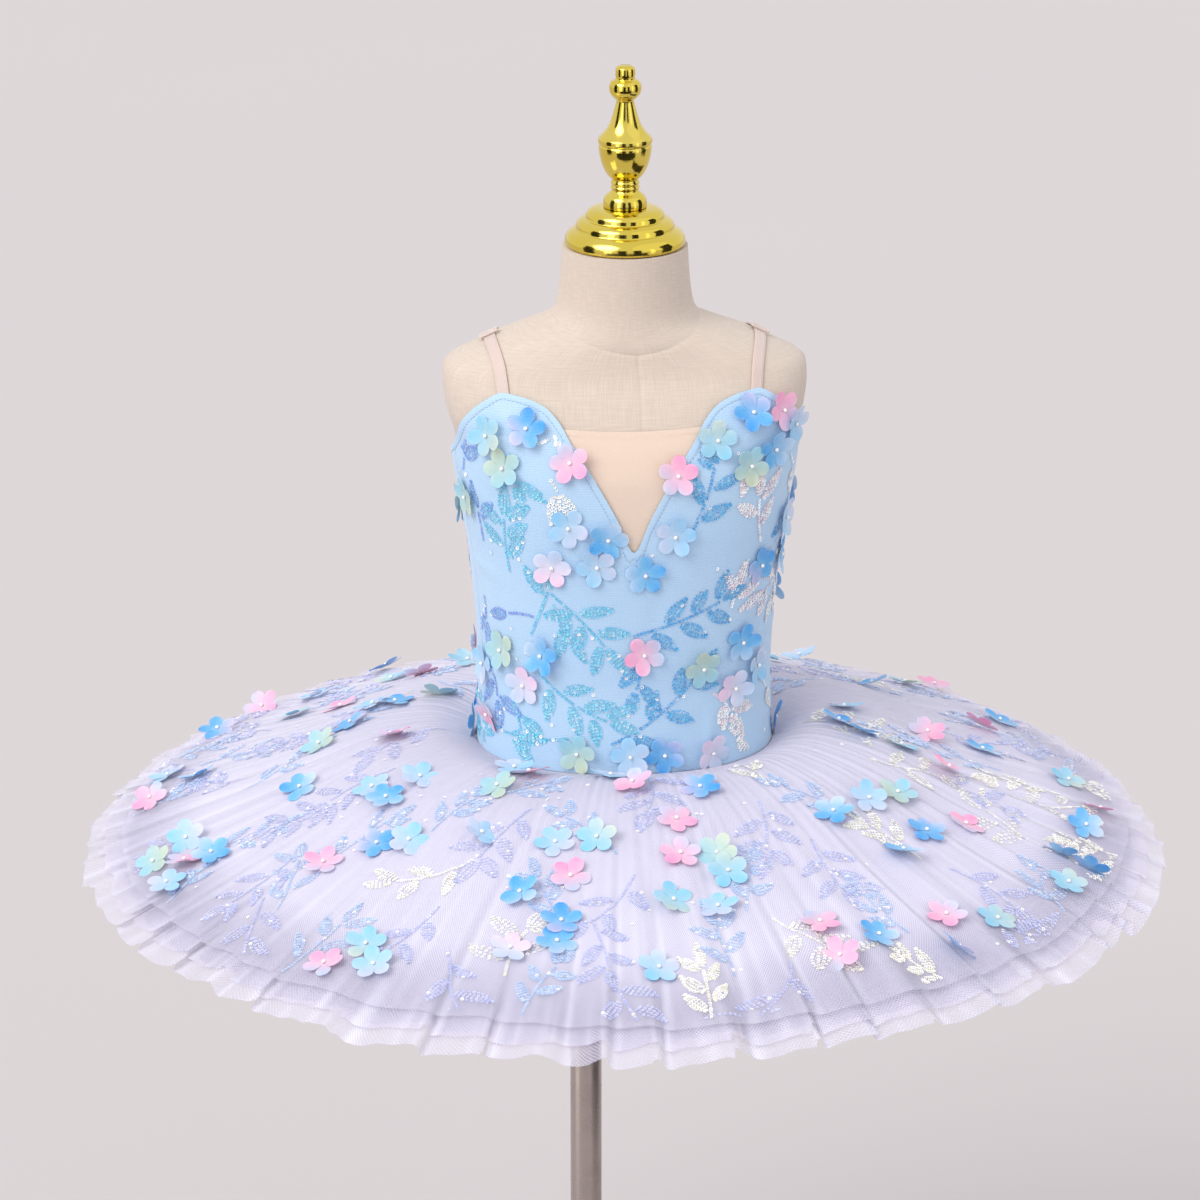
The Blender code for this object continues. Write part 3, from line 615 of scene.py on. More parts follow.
@dataclass(frozen=True)
class Thread:
    """Twisted sewing thread."""

    name: str
    colour: Triple

    def material(self) -> Material:
        """Make the finish."""
        paint = Paint(self.name)
        fine = paint.noise(paint.object_place(), 2500, 1)
        colour = paint.mix(fine.step(0.35, 0.65), scaled(self.colour, 0.8), self.colour)
        return paint.finish(Base_Color=colour, Roughness=0.5, Normal=paint.bump(fine, 0.1 * MM), Sheen_Weight=0.2)


@dataclass(frozen=True)
class Elastic:
    """Woven elastic: ribs along it, crossed by a fine weave."""

    colour: Triple = linear(214, 194, 184)

    def material(self) -> Material:
        """Make the finish."""
        paint = Paint("elastic")
        across, along = paint.cloth_axes()
        rib = abs((across * (math.pi / (1.0 * MM))).sine())
        weft = abs((along * (math.pi / (0.7 * MM))).sine())
        colour = paint.mix(rib.step(0.1, 0.8) * 0.7 + weft * 0.3, scaled(self.colour, 0.82), self.colour)
        return paint.finish(Base_Color=colour, Roughness=0.45, Normal=paint.bump(rib + weft * 0.4, 0.12 * MM),
                            Sheen_Weight=0.25)


@dataclass(frozen=True)
class Plastic:
    """Moulded plastic of the sliders."""

    colour: Triple = linear(206, 188, 178)

    def material(self) -> Material:
        """Make the finish."""
        paint = Paint("slider_plastic")
        grain = paint.noise(paint.object_place(), 700, 2)
        colour = paint.mix(grain * 0.2, self.colour, (0.95, 0.9, 0.86))
        return paint.finish(Base_Color=colour, Roughness=grain * 0.15 + 0.22, Normal=paint.bump(grain, 0.01 * MM),
                            Coat_Weight=0.3)


@dataclass(frozen=True)
class Metal:
    """Turned or drawn metal: its polish varies softly, with fine tool lines round or along it."""

    name: str
    colour: Triple
    worn: Triple
    roughness: float
    line_scale: Triple
    line_depth: float

    def material(self) -> Material:
        """Make the finish."""
        paint = Paint(self.name)
        place = paint.object_place()
        lines = paint.node("ShaderNodeMapping", None, {"Vector": place, "Scale": self.line_scale})
        tool = paint.noise(lines, 1.0, 3)
        cloud = paint.noise(place, 40, 3)
        colour = paint.mix(cloud.step(0.4, 0.8) * 0.5, self.colour, self.worn)
        return paint.finish(Base_Color=colour, Metallic=1.0, Normal=paint.bump(tool, self.line_depth),
                            Roughness=cloud.step(0.35, 0.8) * 0.08 + self.roughness)


@dataclass(frozen=True)
class StudioFloor:
    """Matt pale paper."""

    colour: Triple = linear(193, 187, 186)

    def material(self) -> Material:
        """Make the finish."""
        paint = Paint("studio_floor")
        cloud = paint.noise(paint.object_place(), 0.7, 2)
        colour = paint.mix(cloud, self.colour, scaled(self.colour, 1.03))
        return paint.finish(Base_Color=colour, Roughness=0.9, Specular_IOR_Level=0.1)


def dress(piece: Piece, finish: Material, node: str = "") -> None:
    """Give a piece its finish and its ride on the only body.

    Args:
        piece: The piece.
        finish: Its material.
        node: The CAD node that it stands for, if any.
    """
    piece.data.materials.clear()
    piece.data.materials.append(finish)
    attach(piece, "root")
    if node:
        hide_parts(node)
    LOG.info("%s: %d faces", piece.name, len(piece.data.polygons))


# ---------------- the body's surface


@dataclass(frozen=True)
class Crease:
    """One soft ridge or trough in cloth, in its own place: widths and depth in millimetres."""

    bearing: float
    level: float
    slant: float
    length: float
    width: float
    depth: float


def crease_lift(creases: Sequence[Crease], bearing: Array, level: Array, per_degree: float) -> Array:
    """How far creases lift the cloth.

    Args:
        creases: The creases; a level is in millimetres.
        bearing: Where to read, in degrees.
        level: Where to read, in millimetres.
        per_degree: How many millimetres one degree is.

    Returns:
        The lift in metres.
    """
    lift = np.zeros(np.broadcast(bearing, level).shape)
    for crease in creases:
        across, up = degrees_from(bearing, crease.bearing) * per_degree, level - crease.level
        turn = math.radians(crease.slant)
        along = across * math.cos(turn) + up * math.sin(turn)
        beside = up * math.cos(turn) - across * math.sin(turn)
        lift += crease.depth * MM * bell(along, crease.length / 2) * bell(beside, crease.width / 2)
    return lift


@dataclass(frozen=True)
class BodyForm:
    """The form's surface: rounded outlines, each (height over the seam, half width, front, back, squareness)."""

    sections: tuple[tuple[float, ...], ...] = (
        (-125, 88, 70, 78, 2.3), (-121, 95, 75, 84, 2.3), (-112, 100, 79, 88, 2.3), (-80, 104, 82, 91, 2.3),
        (-40, 101, 80, 86, 2.3), (-3, 95.4, 74.5, 78, 2.25), (22, 94.2, 73.5, 75, 2.2), (50, 93.8, 73, 73, 2.2),
        (82, 95, 75, 72.5, 2.2), (110, 97.2, 77, 73.5, 2.2), (138, 100, 79, 76, 2.25), (166, 104.6, 80, 79, 2.3),
        (195, 109.2, 79, 80, 2.35), (213, 111, 75, 80, 2.4), (232, 116.5, 67, 76, 2.5), (248, 118.5, 58, 69, 2.5),
        (258, 118, 51.5, 61, 2.4), (264, 112, 49.5, 57, 2.3), (270, 99, 48, 53, 2.2), (277, 84.5, 46.5, 50, 2.1),
        (284, 65, 45, 48, 2.0), (290, 49.5, 43.5, 46, 2.0), (300, 44, 42, 44, 2.0), (320, 41.5, 41, 42, 2.0),
        (336, 40.5, 40.5, 41, 2.0),
    )

    def read(self, height: Array) -> list[Array]:
        """Half width, front and back depth in metres, and squareness, at heights in metres over the seam."""
        level = np.asarray(height, float) / MM
        columns = []
        for column, unit in ((1, MM), (2, MM), (3, MM), (4, 1.0)):
            rows = [(section[0], section[column]) for section in self.sections]
            columns.append(smooth_read(rows, level) * unit)
        return columns

    def point(self, bearing: Array, height: Array, growth: Array) -> Array:
        """A point so far outside the form, round it and over the seam.

        Args:
            bearing: Degrees round the body.
            height: Metres over the seam.
            growth: Metres outside the form.

        Returns:
            The points, (..., 3).
        """
        half_width, front, back, squareness = self.read(height)
        turn = np.radians(bearing)
        across, along = np.sin(turn), np.cos(turn)
        depth = np.where(along > 0, front, back)
        reach = (np.abs(across) ** squareness + np.abs(along) ** squareness) ** (-1 / squareness)
        x = across * reach * (half_width + growth)
        y = -along * reach * (depth + growth)
        return np.stack(np.broadcast_arrays(x, y, WAIST + np.asarray(height, float)), axis=-1)

    def beyond(self, x: float, y: float, height: float) -> float:
        """How far a point lies outside the form's outline at its height: 1 is on it."""
        half_width, front, back, squareness = self.read(height)
        depth = front if y < 0 else back
        return float(abs(x / half_width) ** squareness + abs(y / depth) ** squareness)


BODY = BodyForm()


class Panel:
    """A curved piece of cloth that trims are sewn to."""

    def __init__(self, place: Place, unit_across: float, unit_up: float) -> None:
        """Keep the panel's surface.

        Args:
            place: Gives a point from the panel's two coordinates and a lift.
            unit_across: A small step of the first coordinate.
            unit_up: A small step of the second.
        """
        self.place = place
        self.unit_across = unit_across
        self.unit_up = unit_up

    def moves(self, u: Array, v: Array) -> tuple[Array, Array]:
        """What a step to both sides of each coordinate moves a point by."""
        level = np.zeros_like(np.asarray(u, float))
        return (self.place(u + self.unit_across, v, level) - self.place(u - self.unit_across, v, level),
                self.place(u, v + self.unit_up, level) - self.place(u, v - self.unit_up, level))

    def scale(self, u: Array, v: Array) -> tuple[Array, Array]:
        """Metres for each unit of the two coordinates, at a place."""
        across, up = self.moves(u, v)
        return (np.linalg.norm(across, axis=-1) / (2 * self.unit_across),
                np.linalg.norm(up, axis=-1) / (2 * self.unit_up))

    def axes(self, u: Array, v: Array, turn: Array) -> tuple[Array, Array]:
        """Places and directions for trims on the panel.

        Args:
            u: The first coordinate.
            v: The second coordinate.
            turn: Radians by which each trim is turned on the cloth.

        Returns:
            The places, (n, 3), and each trim's x, y and outward directions, (n, 3, 3).
        """
        side, up = self.moves(u, v)
        side /= np.linalg.norm(side, axis=1, keepdims=True)
        out = np.cross(side, up)
        out /= np.linalg.norm(out, axis=1, keepdims=True)
        out *= np.sign(self.outward_sign(out, u, v))[:, None]
        rise = np.cross(out, side)
        cosine, sine = np.cos(turn)[:, None], np.sin(turn)[:, None]
        first = side * cosine + rise * sine
        return self.place(u, v, np.zeros_like(u)), np.stack((first, np.cross(out, first), out), axis=1)

    def outward_sign(self, out: Array, u: Array, v: Array) -> Array:
        """Whether a direction points out of the panel's face: a lift tells."""
        lifted = self.place(u, v, np.full_like(u, MM)) - self.place(u, v, np.zeros_like(u))
        return np.einsum("nk,nk->n", out, lifted)


def lean(axes: Array, tilt: Array, towards: Array) -> Array:
    """Tip trims over by an angle, each towards its own direction, both in radians."""
    first, second, out = axes[:, 0], axes[:, 1], axes[:, 2]
    aim = first * np.cos(towards)[:, None] + second * np.sin(towards)[:, None]
    tipped = out * np.cos(tilt)[:, None] + aim * np.sin(tilt)[:, None]
    side = first - tipped * np.einsum("nk,nk->n", first, tipped)[:, None]
    side /= np.linalg.norm(side, axis=1, keepdims=True)
    return np.stack((side, np.cross(tipped, side), tipped), axis=1)


# ---------------- studio


@dataclass
class Studio:
    """Camera, light and floor."""

    lens: float = 128.0766
    aim: Triple = (-0.0140, 0.0303, 0.8027)
    stand_point: Triple = (-0.2021, -2.6594, 1.7575)
    floor_size: float = 60.0
    cards: tuple[tuple[str, Triple, Pair, float], ...] = (
        ("card_left", (-1.55, -2.1, 1.5), (0.55, 2.2), 3.2), ("card_right", (1.9, -1.6, 1.4), (0.4, 2.0), 1.6),
        ("flag_middle", (-0.5, -3.0, 1.1), (0.9, 3.0), 0.0), ("flag_left", (-2.6, -0.6, 1.2), (1.2, 3.0), 0.0),
        ("flag_right", (1.0, -2.8, 1.2), (0.8, 3.0), 0.0), ("flag_far_right", (2.6, -0.3, 1.2), (1.2, 3.0), 0.0),
        ("flag_low", (0.0, -1.6, 0.05), (3.0, 1.2), 0.0), ("flag_pole", (0.8, -0.25, 0.22), (1.3, 0.5), 0.0),
        ("card_pole", (-0.9, -0.35, 0.22), (0.5, 0.5), 1.5),
    )

    def build(self) -> None:
        """Set up the studio."""
        self.place_camera()
        self.hang_lights()
        self.lay_floor()
        for name, middle, size, glow in self.cards:
            self.hang_card(name, middle, size, glow)
        bpy.context.scene.view_settings.view_transform = "Standard"

    def place_camera(self) -> None:
        """Stand the camera at the photograph's angle."""
        camera = bpy.data.cameras.new("camera")
        camera.lens = self.lens
        camera.sensor_width = 36
        holder = link("camera", camera)
        holder.location = self.stand_point
        direction = Vector(self.aim) - Vector(self.stand_point)
        holder.rotation_euler = direction.to_track_quat("-Z", "Y").to_euler()
        bpy.context.scene.camera = holder

    def hang_lights(self) -> None:
        """Light softly from the upper left, with a weaker light from the right and a bright sky."""
        world = bpy.data.worlds.new("studio")
        world.use_nodes = True
        background = world.node_tree.nodes["Background"]
        background.inputs["Color"].default_value = (0.95, 0.95, 1.0, 1)
        background.inputs["Strength"].default_value = 0.93
        bpy.context.scene.world = world
        for name, aim_from, power, spread, colour in (
            ("key", (-2.6, -2.2, 3.2), 2.0, 40, (1.0, 0.985, 0.965)),
            ("fill", (2.6, -1.6, 1.6), 0.2, 80, (0.96, 0.97, 1.0)),
        ):
            lamp = bpy.data.lights.new(name, "SUN")
            lamp.energy = power
            lamp.angle = math.radians(spread)
            lamp.color = colour
            link(name, lamp).rotation_euler = (-Vector(aim_from)).to_track_quat("-Z", "Y").to_euler()

    def hang_card(self, name: str, middle: Triple, size: Pair, glow: float) -> None:
        """Hang a white or black card that only shows in reflections, as polished brass needs.

        Args:
            name: The card's name.
            middle: Where its middle is.
            size: Its width and height.
            glow: How bright it is; 0 for a black one.
        """
        deselect_all()
        bpy.ops.mesh.primitive_plane_add(size=1, location=middle)
        card = bpy.context.object
        card.name = name
        card.scale = (*size, 1)
        target = Vector((0, 0, middle[2] if middle[2] > 0.1 else 1.0))
        card.rotation_euler = (target - Vector(middle)).to_track_quat("Z", "Y").to_euler()
        paint = Paint(name)
        card.data.materials.append(paint.finish(Base_Color=(0.02, 0.02, 0.02), Roughness=1.0,
                                                Emission_Color=(1.0, 0.98, 0.94), Emission_Strength=glow))
        card.visible_camera = card.visible_diffuse = card.visible_shadow = card.visible_transmission = False

    def lay_floor(self) -> None:
        """Lay a wide pale floor."""
        deselect_all()
        bpy.ops.mesh.primitive_plane_add(size=self.floor_size, location=(0, 0, 0))
        floor = bpy.context.object
        floor.name = "floor"
        floor.data.materials.append(StudioFloor().material())


# ---------------- form and stand


@dataclass
class DressForm:
    """Linen-covered limbless body with its brass cap and finial."""

    columns: int = 180
    row_step: float = 4 * MM
    seam_bearing: float = 3.0
    seam_depth: float = 0.55 * MM
    seam_widths: tuple[float, ...] = (-2.2, -1.2, -0.5, 0.0, 0.5, 1.2, 2.2)
    seam_unit: float = 0.76
    neck_low: float = 264 * MM
    neck_high: float = 297 * MM
    neck_seam: Curve = (
        (0, 274.8), (14, 278), (25, 281.5), (50, 287), (90, 291), (135, 290), (180, 287),
    )
    cap_profile: Curve = (
        (36.5, 336.3), (38.2, 336.9), (38.9, 338.4), (38.9, 340.4), (38.1, 342.6), (36.6, 344.6), (34.6, 346.2),
        (33.2, 346.9), (32.3, 347.3), (31.9, 348), (31.6, 349.8), (30.8, 351.4), (29.2, 352.8), (27, 353.7),
        (25.9, 354), (25.5, 354.8), (25.2, 356.4), (24.3, 358), (22.6, 359.4), (20, 360.4), (17, 361),
    )
    finial_profile: Curve = (
        (14, 361.3), (14.2, 363.5), (13, 368), (9.5, 371), (8.6, 372.5), (9.4, 374), (8.6, 375.5), (9.3, 377),
        (8.4, 379), (10.6, 381.2), (13.2, 385), (15.4, 390.5), (16.7, 396.5), (17.1, 401), (16.5, 402.2),
        (17.5, 403.6), (17.3, 406), (16.4, 407.2), (14.6, 409), (12, 412), (9.8, 416), (8, 421), (6.6, 426.2),
        (5.6, 430.4), (7.6, 432.4), (10.2, 436.5), (10.4, 439),
        (9, 443), (6, 444.6), (6.4, 447), (6.2, 451), (4, 453),
    )

    def neck_seam_height(self, bearing: Array) -> Array:
        """Height of the seam round the neck's base, in metres over the waist seam."""
        return smooth_read(self.neck_seam, np.abs(degrees_from(bearing, self.seam_bearing)), level_start=True) * MM

    def build_body(self) -> None:
        """Make the linen body, with its centre front seam and the seam round the neck."""
        seam = self.seam_bearing + np.array(self.seam_widths) * self.seam_unit
        even = np.arange(-180, 180, 360 / self.columns)
        even = even[(even < seam[0] - 0.8) | (even > seam[-1] + 0.8)]
        bearing = np.sort(np.concatenate((even, seam)))
        low, high = BODY.sections[0][0] * MM, BODY.sections[-1][0] * MM
        below = np.arange(low + 8 * MM, self.neck_low, self.row_step)
        above = np.arange(self.neck_high, high, self.row_step)
        edge = low + np.array((0, 1.2, 3, 5)) * MM
        seam_height = self.neck_seam_height(bearing)
        rows = [np.full_like(bearing, level) for level in (*edge, *below)]
        rows += [self.neck_low + (seam_height - self.neck_low) * share for share in (0.25, 0.5, 0.72, 0.86)]
        rows += [seam_height + offset * MM for offset in self.seam_widths[1:-1]]
        rows += [seam_height + (self.neck_high - seam_height) * share for share in (0.3, 0.6)]
        rows += [np.full_like(bearing, level) for level in (*above, high)]
        height = np.stack(rows)
        around = np.broadcast_to(bearing, height.shape)
        across_seam = (around - self.seam_bearing) / self.seam_unit
        below_neck = height < seam_height + 0.1 * MM
        groove = bell(across_seam, 0.9) * below_neck + bell((height - seam_height) / MM, 0.9)
        growth = -self.seam_depth * np.clip(groove, 0, 1)
        points = BODY.point(around, height, growth)
        cloth = np.stack((around * CLOTH_PER_DEGREE, height), axis=-1)
        body = sheet("form_body", points, join_round(cloth, 360 * CLOTH_PER_DEGREE), ring=True)
        fill_holes(body)
        smooth(body, 50)
        dress(body, Linen().material(), "form_torso")

    def build_brass(self) -> None:
        """Turn the stepped cap and the finial."""
        brass = Metal("brass", linear(226, 202, 84), linear(238, 218, 118), 0.09, (30, 30, 900), 0.02 * MM)
        finish = brass.material()
        for name, profile, node in (("brass_cap", self.cap_profile, "neck_cap"),
                                    ("brass_finial", self.finial_profile, "finial")):
            metres = [(radius * MM, WAIST + height * MM) for radius, height in profile]
            dress(turned_piece(name, rounded_profile(metres), 72, angle=60), finish, node)


@dataclass
class FloorStand:
    """Steel pole, its collar and the round base."""

    pole_x: float = -25.8 * MM
    pole_radius: float = 10.8 * MM
    base_radius: float = 145 * MM
    base_thickness: float = 9 * MM
    collar_radius: float = 18 * MM
    collar_height: float = 24 * MM
    gap: float = 0.3 * MM

    def build(self) -> None:
        """Turn the three pieces."""
        drawn = Metal("drawn_steel", linear(182, 171, 166), linear(168, 158, 153), 0.24, (700, 700, 6), 0.015 * MM)
        brushed = Metal("brushed_steel", linear(182, 178, 175), linear(172, 167, 163), 0.34, (60, 60, 800), 0.03 * MM)
        foot = self.base_thickness + self.gap
        head = WAIST + BODY.sections[0][0] * MM - self.gap
        edge = 0.6 * MM
        radius = self.pole_radius
        pole = [(radius - edge, foot), (radius, foot + edge), (radius, (foot + head) / 2), (radius, head - edge),
                (radius - edge, head)]
        dress(turned_piece("stand_pole", pole, 64, self.pole_x), drawn.material(), "pole")
        base = turned_piece("stand_base", self.rounded_base(), 128, self.pole_x)
        dress(base, brushed.material(), "base_plate")
        dress(self.build_collar(foot), brushed.material(), "pole_collar")

    def rounded_base(self) -> list[Pair]:
        """The base plate's profile, with its top edge rounded."""
        round_off = 3 * MM
        profile = [(self.base_radius - 0.8 * MM, 0.0), (self.base_radius, 0.8 * MM)]
        for turn in range(0, 91, 15):
            angle = math.radians(turn)
            profile.append((self.base_radius - round_off * (1 - math.cos(angle)),
                            self.base_thickness - round_off * (1 - math.sin(angle))))
        return profile + [(self.base_radius * 0.5, self.base_thickness), (self.collar_radius, self.base_thickness)]

    def build_collar(self, foot: float) -> Piece:
        """Spin the collar's outline round the pole.

        Args:
            foot: The lower face's height.

        Returns:
            The collar.
        """
        bore, outer, top = self.pole_radius + self.gap, self.collar_radius, foot + self.collar_height
        deselect_all()
        bpy.ops.mesh.primitive_plane_add(size=1, location=(0, 0, 0))
        collar = bpy.context.object
        collar.name = collar.data.name = "stand_collar"
        corners = ((bore, foot), (outer, foot), (outer, top), (bore, top))
        for index, (radius, height) in zip(collar.data.polygons[0].vertices, corners):
            collar.data.vertices[index].co = (self.pole_x + radius, 0, height)
        with editing(collar):
            bpy.ops.mesh.bevel(offset=1.2 * MM, segments=4, affect="VERTICES")
            bpy.ops.mesh.spin(steps=64, angle=2 * math.pi, center=(self.pole_x, 0, 0), axis=(0, 0, 1))
            bpy.ops.mesh.select_all(action="SELECT")
            bpy.ops.mesh.remove_doubles(threshold=0.01 * MM)
            bpy.ops.mesh.delete_loose()
        delete_faces(collar, lambda face: len(face.vertices) > 4, "ONLY_FACE")
        face_outwards(collar)
        smooth(collar, 50)
        return collar


# ---------------- bodice


@dataclass
class Bodice:
    """Front and back of light blue stretch cloth with turned edges, and the insert in the neckline."""

    insert_gap: float = 0.5 * MM
    insert_thickness: float = 1.0 * MM
    gap: float = 2.3 * MM
    thickness: float = 1.2 * MM
    side_seam: float = 75.0
    seam_half_gap: float = 0.12
    per_degree: float = 1.65
    front_edge: Curve = (
        (0, 154), (5.5, 176), (10, 193), (15, 211), (19, 225), (21.5, 236), (26, 246), (33, 251), (39, 252.5),
        (45, 247.5), (54, 237), (65, 222), (75, 211),
    )
    back_edge: Curve = (
        (75, 211), (90, 202), (105, 192), (122, 190), (140, 197), (152, 190), (165, 179), (180, 174),
    )
    insert_low: Curve = (
        (0, 142), (5.5, 156), (10, 176), (15, 194), (19.5, 214), (23.5, 232.9),
    )
    crease_scale: float = 1.6
    insert_high: Curve = ((0, 231), (10, 231.5), (23.5, 233))
    hem_rows: tuple[float, ...] = (7.5, 5.4, 4.4, 3.8, 3.2, 2.2, 1.2, 0.5, 0.0)
    creases: tuple[Crease, ...] = tuple(Crease(*row) for row in (
        (62, 196, 35, 46, 7, 0.9), (66, 150, 12, 40, 6, 0.7), (58, 118, -14, 52, 8, 0.8), (66, 84, 8, 44, 6, 0.8),
        (60, 44, -20, 50, 7, 0.9), (70, 24, 10, 36, 5, 0.8), (-62, 190, 145, 44, 7, 0.8),
        (-66, 132, 170, 48, 6, 0.7), (-60, 60, 195, 46, 7, 0.8), (-68, 30, 172, 36, 5, 0.7),
        (30, 20, 84, 34, 8, 0.5), (-18, 16, 96, 36, 9, 0.5), (8, 112, 80, 60, 12, -0.35),
        (-30, 110, 100, 60, 12, -0.35), (40, 236, 60, 30, 6, 0.5), (-38, 236, 120, 30, 6, 0.5),
        (112, 150, -10, 60, 8, 0.8), (-112, 146, 190, 60, 8, 0.8), (150, 60, 12, 60, 9, 0.8),
        (-150, 64, 168, 60, 9, 0.8), (180, 110, 90, 80, 10, -0.5), (100, 40, 8, 44, 7, 0.8),
        (-100, 44, 172, 44, 7, 0.8),
    ))

    def edge_height(self, bearing: Array) -> Array:
        """Height of the bodice's top edge, in metres over the seam."""
        away = np.abs(degrees_from(bearing))
        front = smooth_read(self.front_edge, away, level_start=True)
        return np.where(away <= self.side_seam, front, smooth_read(self.back_edge, away)) * MM

    def edge_stretch(self, bearing: Array) -> Array:
        """How much longer a step straight down is than one square to the edge."""
        reach = 0.4
        rise = (self.edge_height(bearing + reach) - self.edge_height(bearing - reach)) / (2 * reach)
        return np.minimum(np.sqrt(1 + (rise / (self.per_degree * MM)) ** 2), 3.4)

    def place(self, bearing: Array, height: Array, lift: Array) -> Array:
        """A point over the bodice's outer face."""
        folds = self.crease_scale * crease_lift(self.creases, bearing, np.asarray(height) / MM, self.per_degree)
        return BODY.point(bearing, height, self.gap + self.thickness + folds + lift)

    def build_half(self, name: str, start: float, end: float, node: str) -> Piece:
        """Make the front or the back.

        Args:
            name: The piece's name.
            start: The bearing of its first side edge.
            end: The bearing of its last side edge.
            node: The CAD node that it stands for.

        Returns:
            The piece.
        """
        bearing = np.linspace(start, end, round((end - start) / 0.9) + 1)
        edge, stretch = self.edge_height(bearing), self.edge_stretch(bearing)
        below = edge - self.hem_rows[0] * MM * stretch
        foot = 0.15 * MM
        rows = [foot + (below - foot) * share for share in np.linspace(0, 1, 54, endpoint=False)]
        rows += [edge - offset * MM * stretch for offset in self.hem_rows]
        height = np.stack(rows)
        around = np.broadcast_to(bearing, height.shape)
        depth = (edge - height) / stretch / MM
        hem = 0.4 * (1 - ease(3.9, 4.9, depth)) - 0.45 * bell(depth - 3.75, 0.5)
        seam = np.minimum(around - start, end - around) * self.per_degree
        pucker = 0.16 * np.sin(height / (3.1 * MM)) * bell(seam, 5.0) - 0.5 * bell(seam, 1.6)
        points = self.place(around, height, (hem + pucker) * MM)
        cloth = np.stack((around * self.per_degree * MM, height), axis=-1)
        piece = sheet(name, points, cloth)
        thicken(piece, self.thickness)
        smooth(piece, 60)
        colour, shade = linear(188, 213, 234), linear(158, 196, 227)
        dress(piece, StretchCloth("blue_cloth", colour, shade, 1.6 * MM).material(), node)
        return piece

    def build_insert(self) -> Piece:
        """Make the skin-coloured net behind the notch."""
        bearing = np.linspace(-23.4, 23.4, 79)
        low = smooth_read(self.insert_low, np.abs(bearing), level_start=True) * MM
        high = smooth_read(self.insert_high, np.abs(bearing), level_start=True) * MM
        share = np.concatenate((np.linspace(0, 0.92, 40), (0.945, 0.965, 0.98, 1.0)))[:, None]
        height = low + (high - low) * share
        around = np.broadcast_to(bearing, height.shape)
        depth = (high - height) / MM
        hem = 0.25 * (1 - ease(3.0, 4.0, depth))
        points = BODY.point(around, height, self.insert_gap + self.insert_thickness + hem * MM)
        cloth = np.stack((around * self.per_degree * MM, height), axis=-1)
        piece = sheet("neckline_net", points, cloth)
        thicken(piece, 0.5 * MM)
        smooth(piece, 60)
        finish = StretchCloth("nude_net", linear(224, 204, 186), linear(218, 194, 174), 0.7 * MM)
        dress(piece, finish.material(), "neck_insert")
        return piece

    def build(self) -> list[Piece]:
        """Make the front, the back and the insert."""
        start, end = self.side_seam + self.seam_half_gap, 360 - self.side_seam - self.seam_half_gap
        return [
            self.build_half("bodice_front_cloth", self.seam_half_gap - self.side_seam,
                            self.side_seam - self.seam_half_gap, "bodice_front"),
            self.build_half("bodice_back_cloth", start, end, "bodice_back"),
            self.build_insert(),
        ]


# ---------------- brief


@dataclass
class Brief:
    """Brief and gusset under the skirt."""

    leg_line: Curve = (
        (0, -110), (20, -110), (35, -98), (55, -76), (75, -64), (90, -60), (110, -64), (130, -80),
        (150, -100), (162, -110), (180, -110),
    )
    waist: float = -0.15 * MM
    gap: float = 2.3 * MM
    thickness: float = 1.2 * MM
    gusset_centre: float = 12 * MM
    gusset_width: float = 44 * MM
    bottom: float = -125 * MM
    top: float = -110.3 * MM

    def build(self) -> list[Piece]:
        """Make both pieces."""
        finish = StretchCloth("brief_cloth", linear(226, 222, 245), linear(208, 204, 236)).material()
        bearing = np.arange(-180, 180, 3.0)
        leg = smooth_read(self.leg_line, np.abs(bearing)) * MM
        share = np.array((0, 0.08, 0.2, 0.35, 0.5, 0.65, 0.8, 0.9, 0.95, 0.975, 1.0))[:, None]
        height = self.waist + (leg - self.waist) * share
        around = np.broadcast_to(bearing, height.shape)
        hem = 0.4 * MM * ease(0.93, 0.97, share)
        points = BODY.point(around, height, self.gap + self.thickness + hem)
        cloth = join_round(np.stack((around * CLOTH_PER_DEGREE, height), axis=-1), 360 * CLOTH_PER_DEGREE)
        brief = sheet("brief_cloth", points, cloth, ring=True, turned=True)
        thicken(brief, self.thickness)
        smooth(brief, 60)
        dress(brief, finish, "brief")
        gusset = self.build_gusset()
        dress(gusset, finish, "gusset")
        return [brief, gusset]

    def build_gusset(self) -> Piece:
        """Make the strip that runs down the front, under the form and up the back."""
        growth = self.gap + self.thickness
        down = np.linspace(self.top, self.bottom, 9)
        across = self.gusset_centre + np.linspace(-0.5, 0.5, 9) * self.gusset_width
        rows = []
        for side, heights in ((-1, down), (1, down[::-1])):
            for height in heights:
                half_width, front, back, squareness = BODY.read(height)
                depth = (front if side < 0 else back) + growth
                y = side * depth * (1 - np.abs(across / (half_width + growth)) ** squareness) ** (1 / squareness)
                drop = growth * float(ease(-121 * MM, self.bottom, height))
                rows.append(np.stack((across, y, np.full_like(across, WAIST + height - drop)), axis=-1))
            if side < 0:
                front_row = rows[-1]
        back_row = rows[len(down)]
        under = [front_row + (back_row - front_row) * share for share in (0.1, 0.25, 0.4, 0.55, 0.7, 0.85, 0.95)]
        points = np.stack(rows[:len(down)] + under + rows[len(down):])
        cloth = np.stack(np.broadcast_arrays(across[None, :], run_along(points[:, 4])[:, None]), axis=-1)
        gusset = sheet("gusset_cloth", points, cloth, turned=True)
        thicken(gusset, self.thickness)
        smooth(gusset, 60)
        return gusset


# ---------------- skirt


@dataclass(frozen=True)
class Layer:
    """One skirt layer: order downwards, length, gather height (mm) and how far its gathers fold over (mm)."""

    name: str
    node: str
    order: int
    length: float
    gather: float
    fold: float
    spread: float


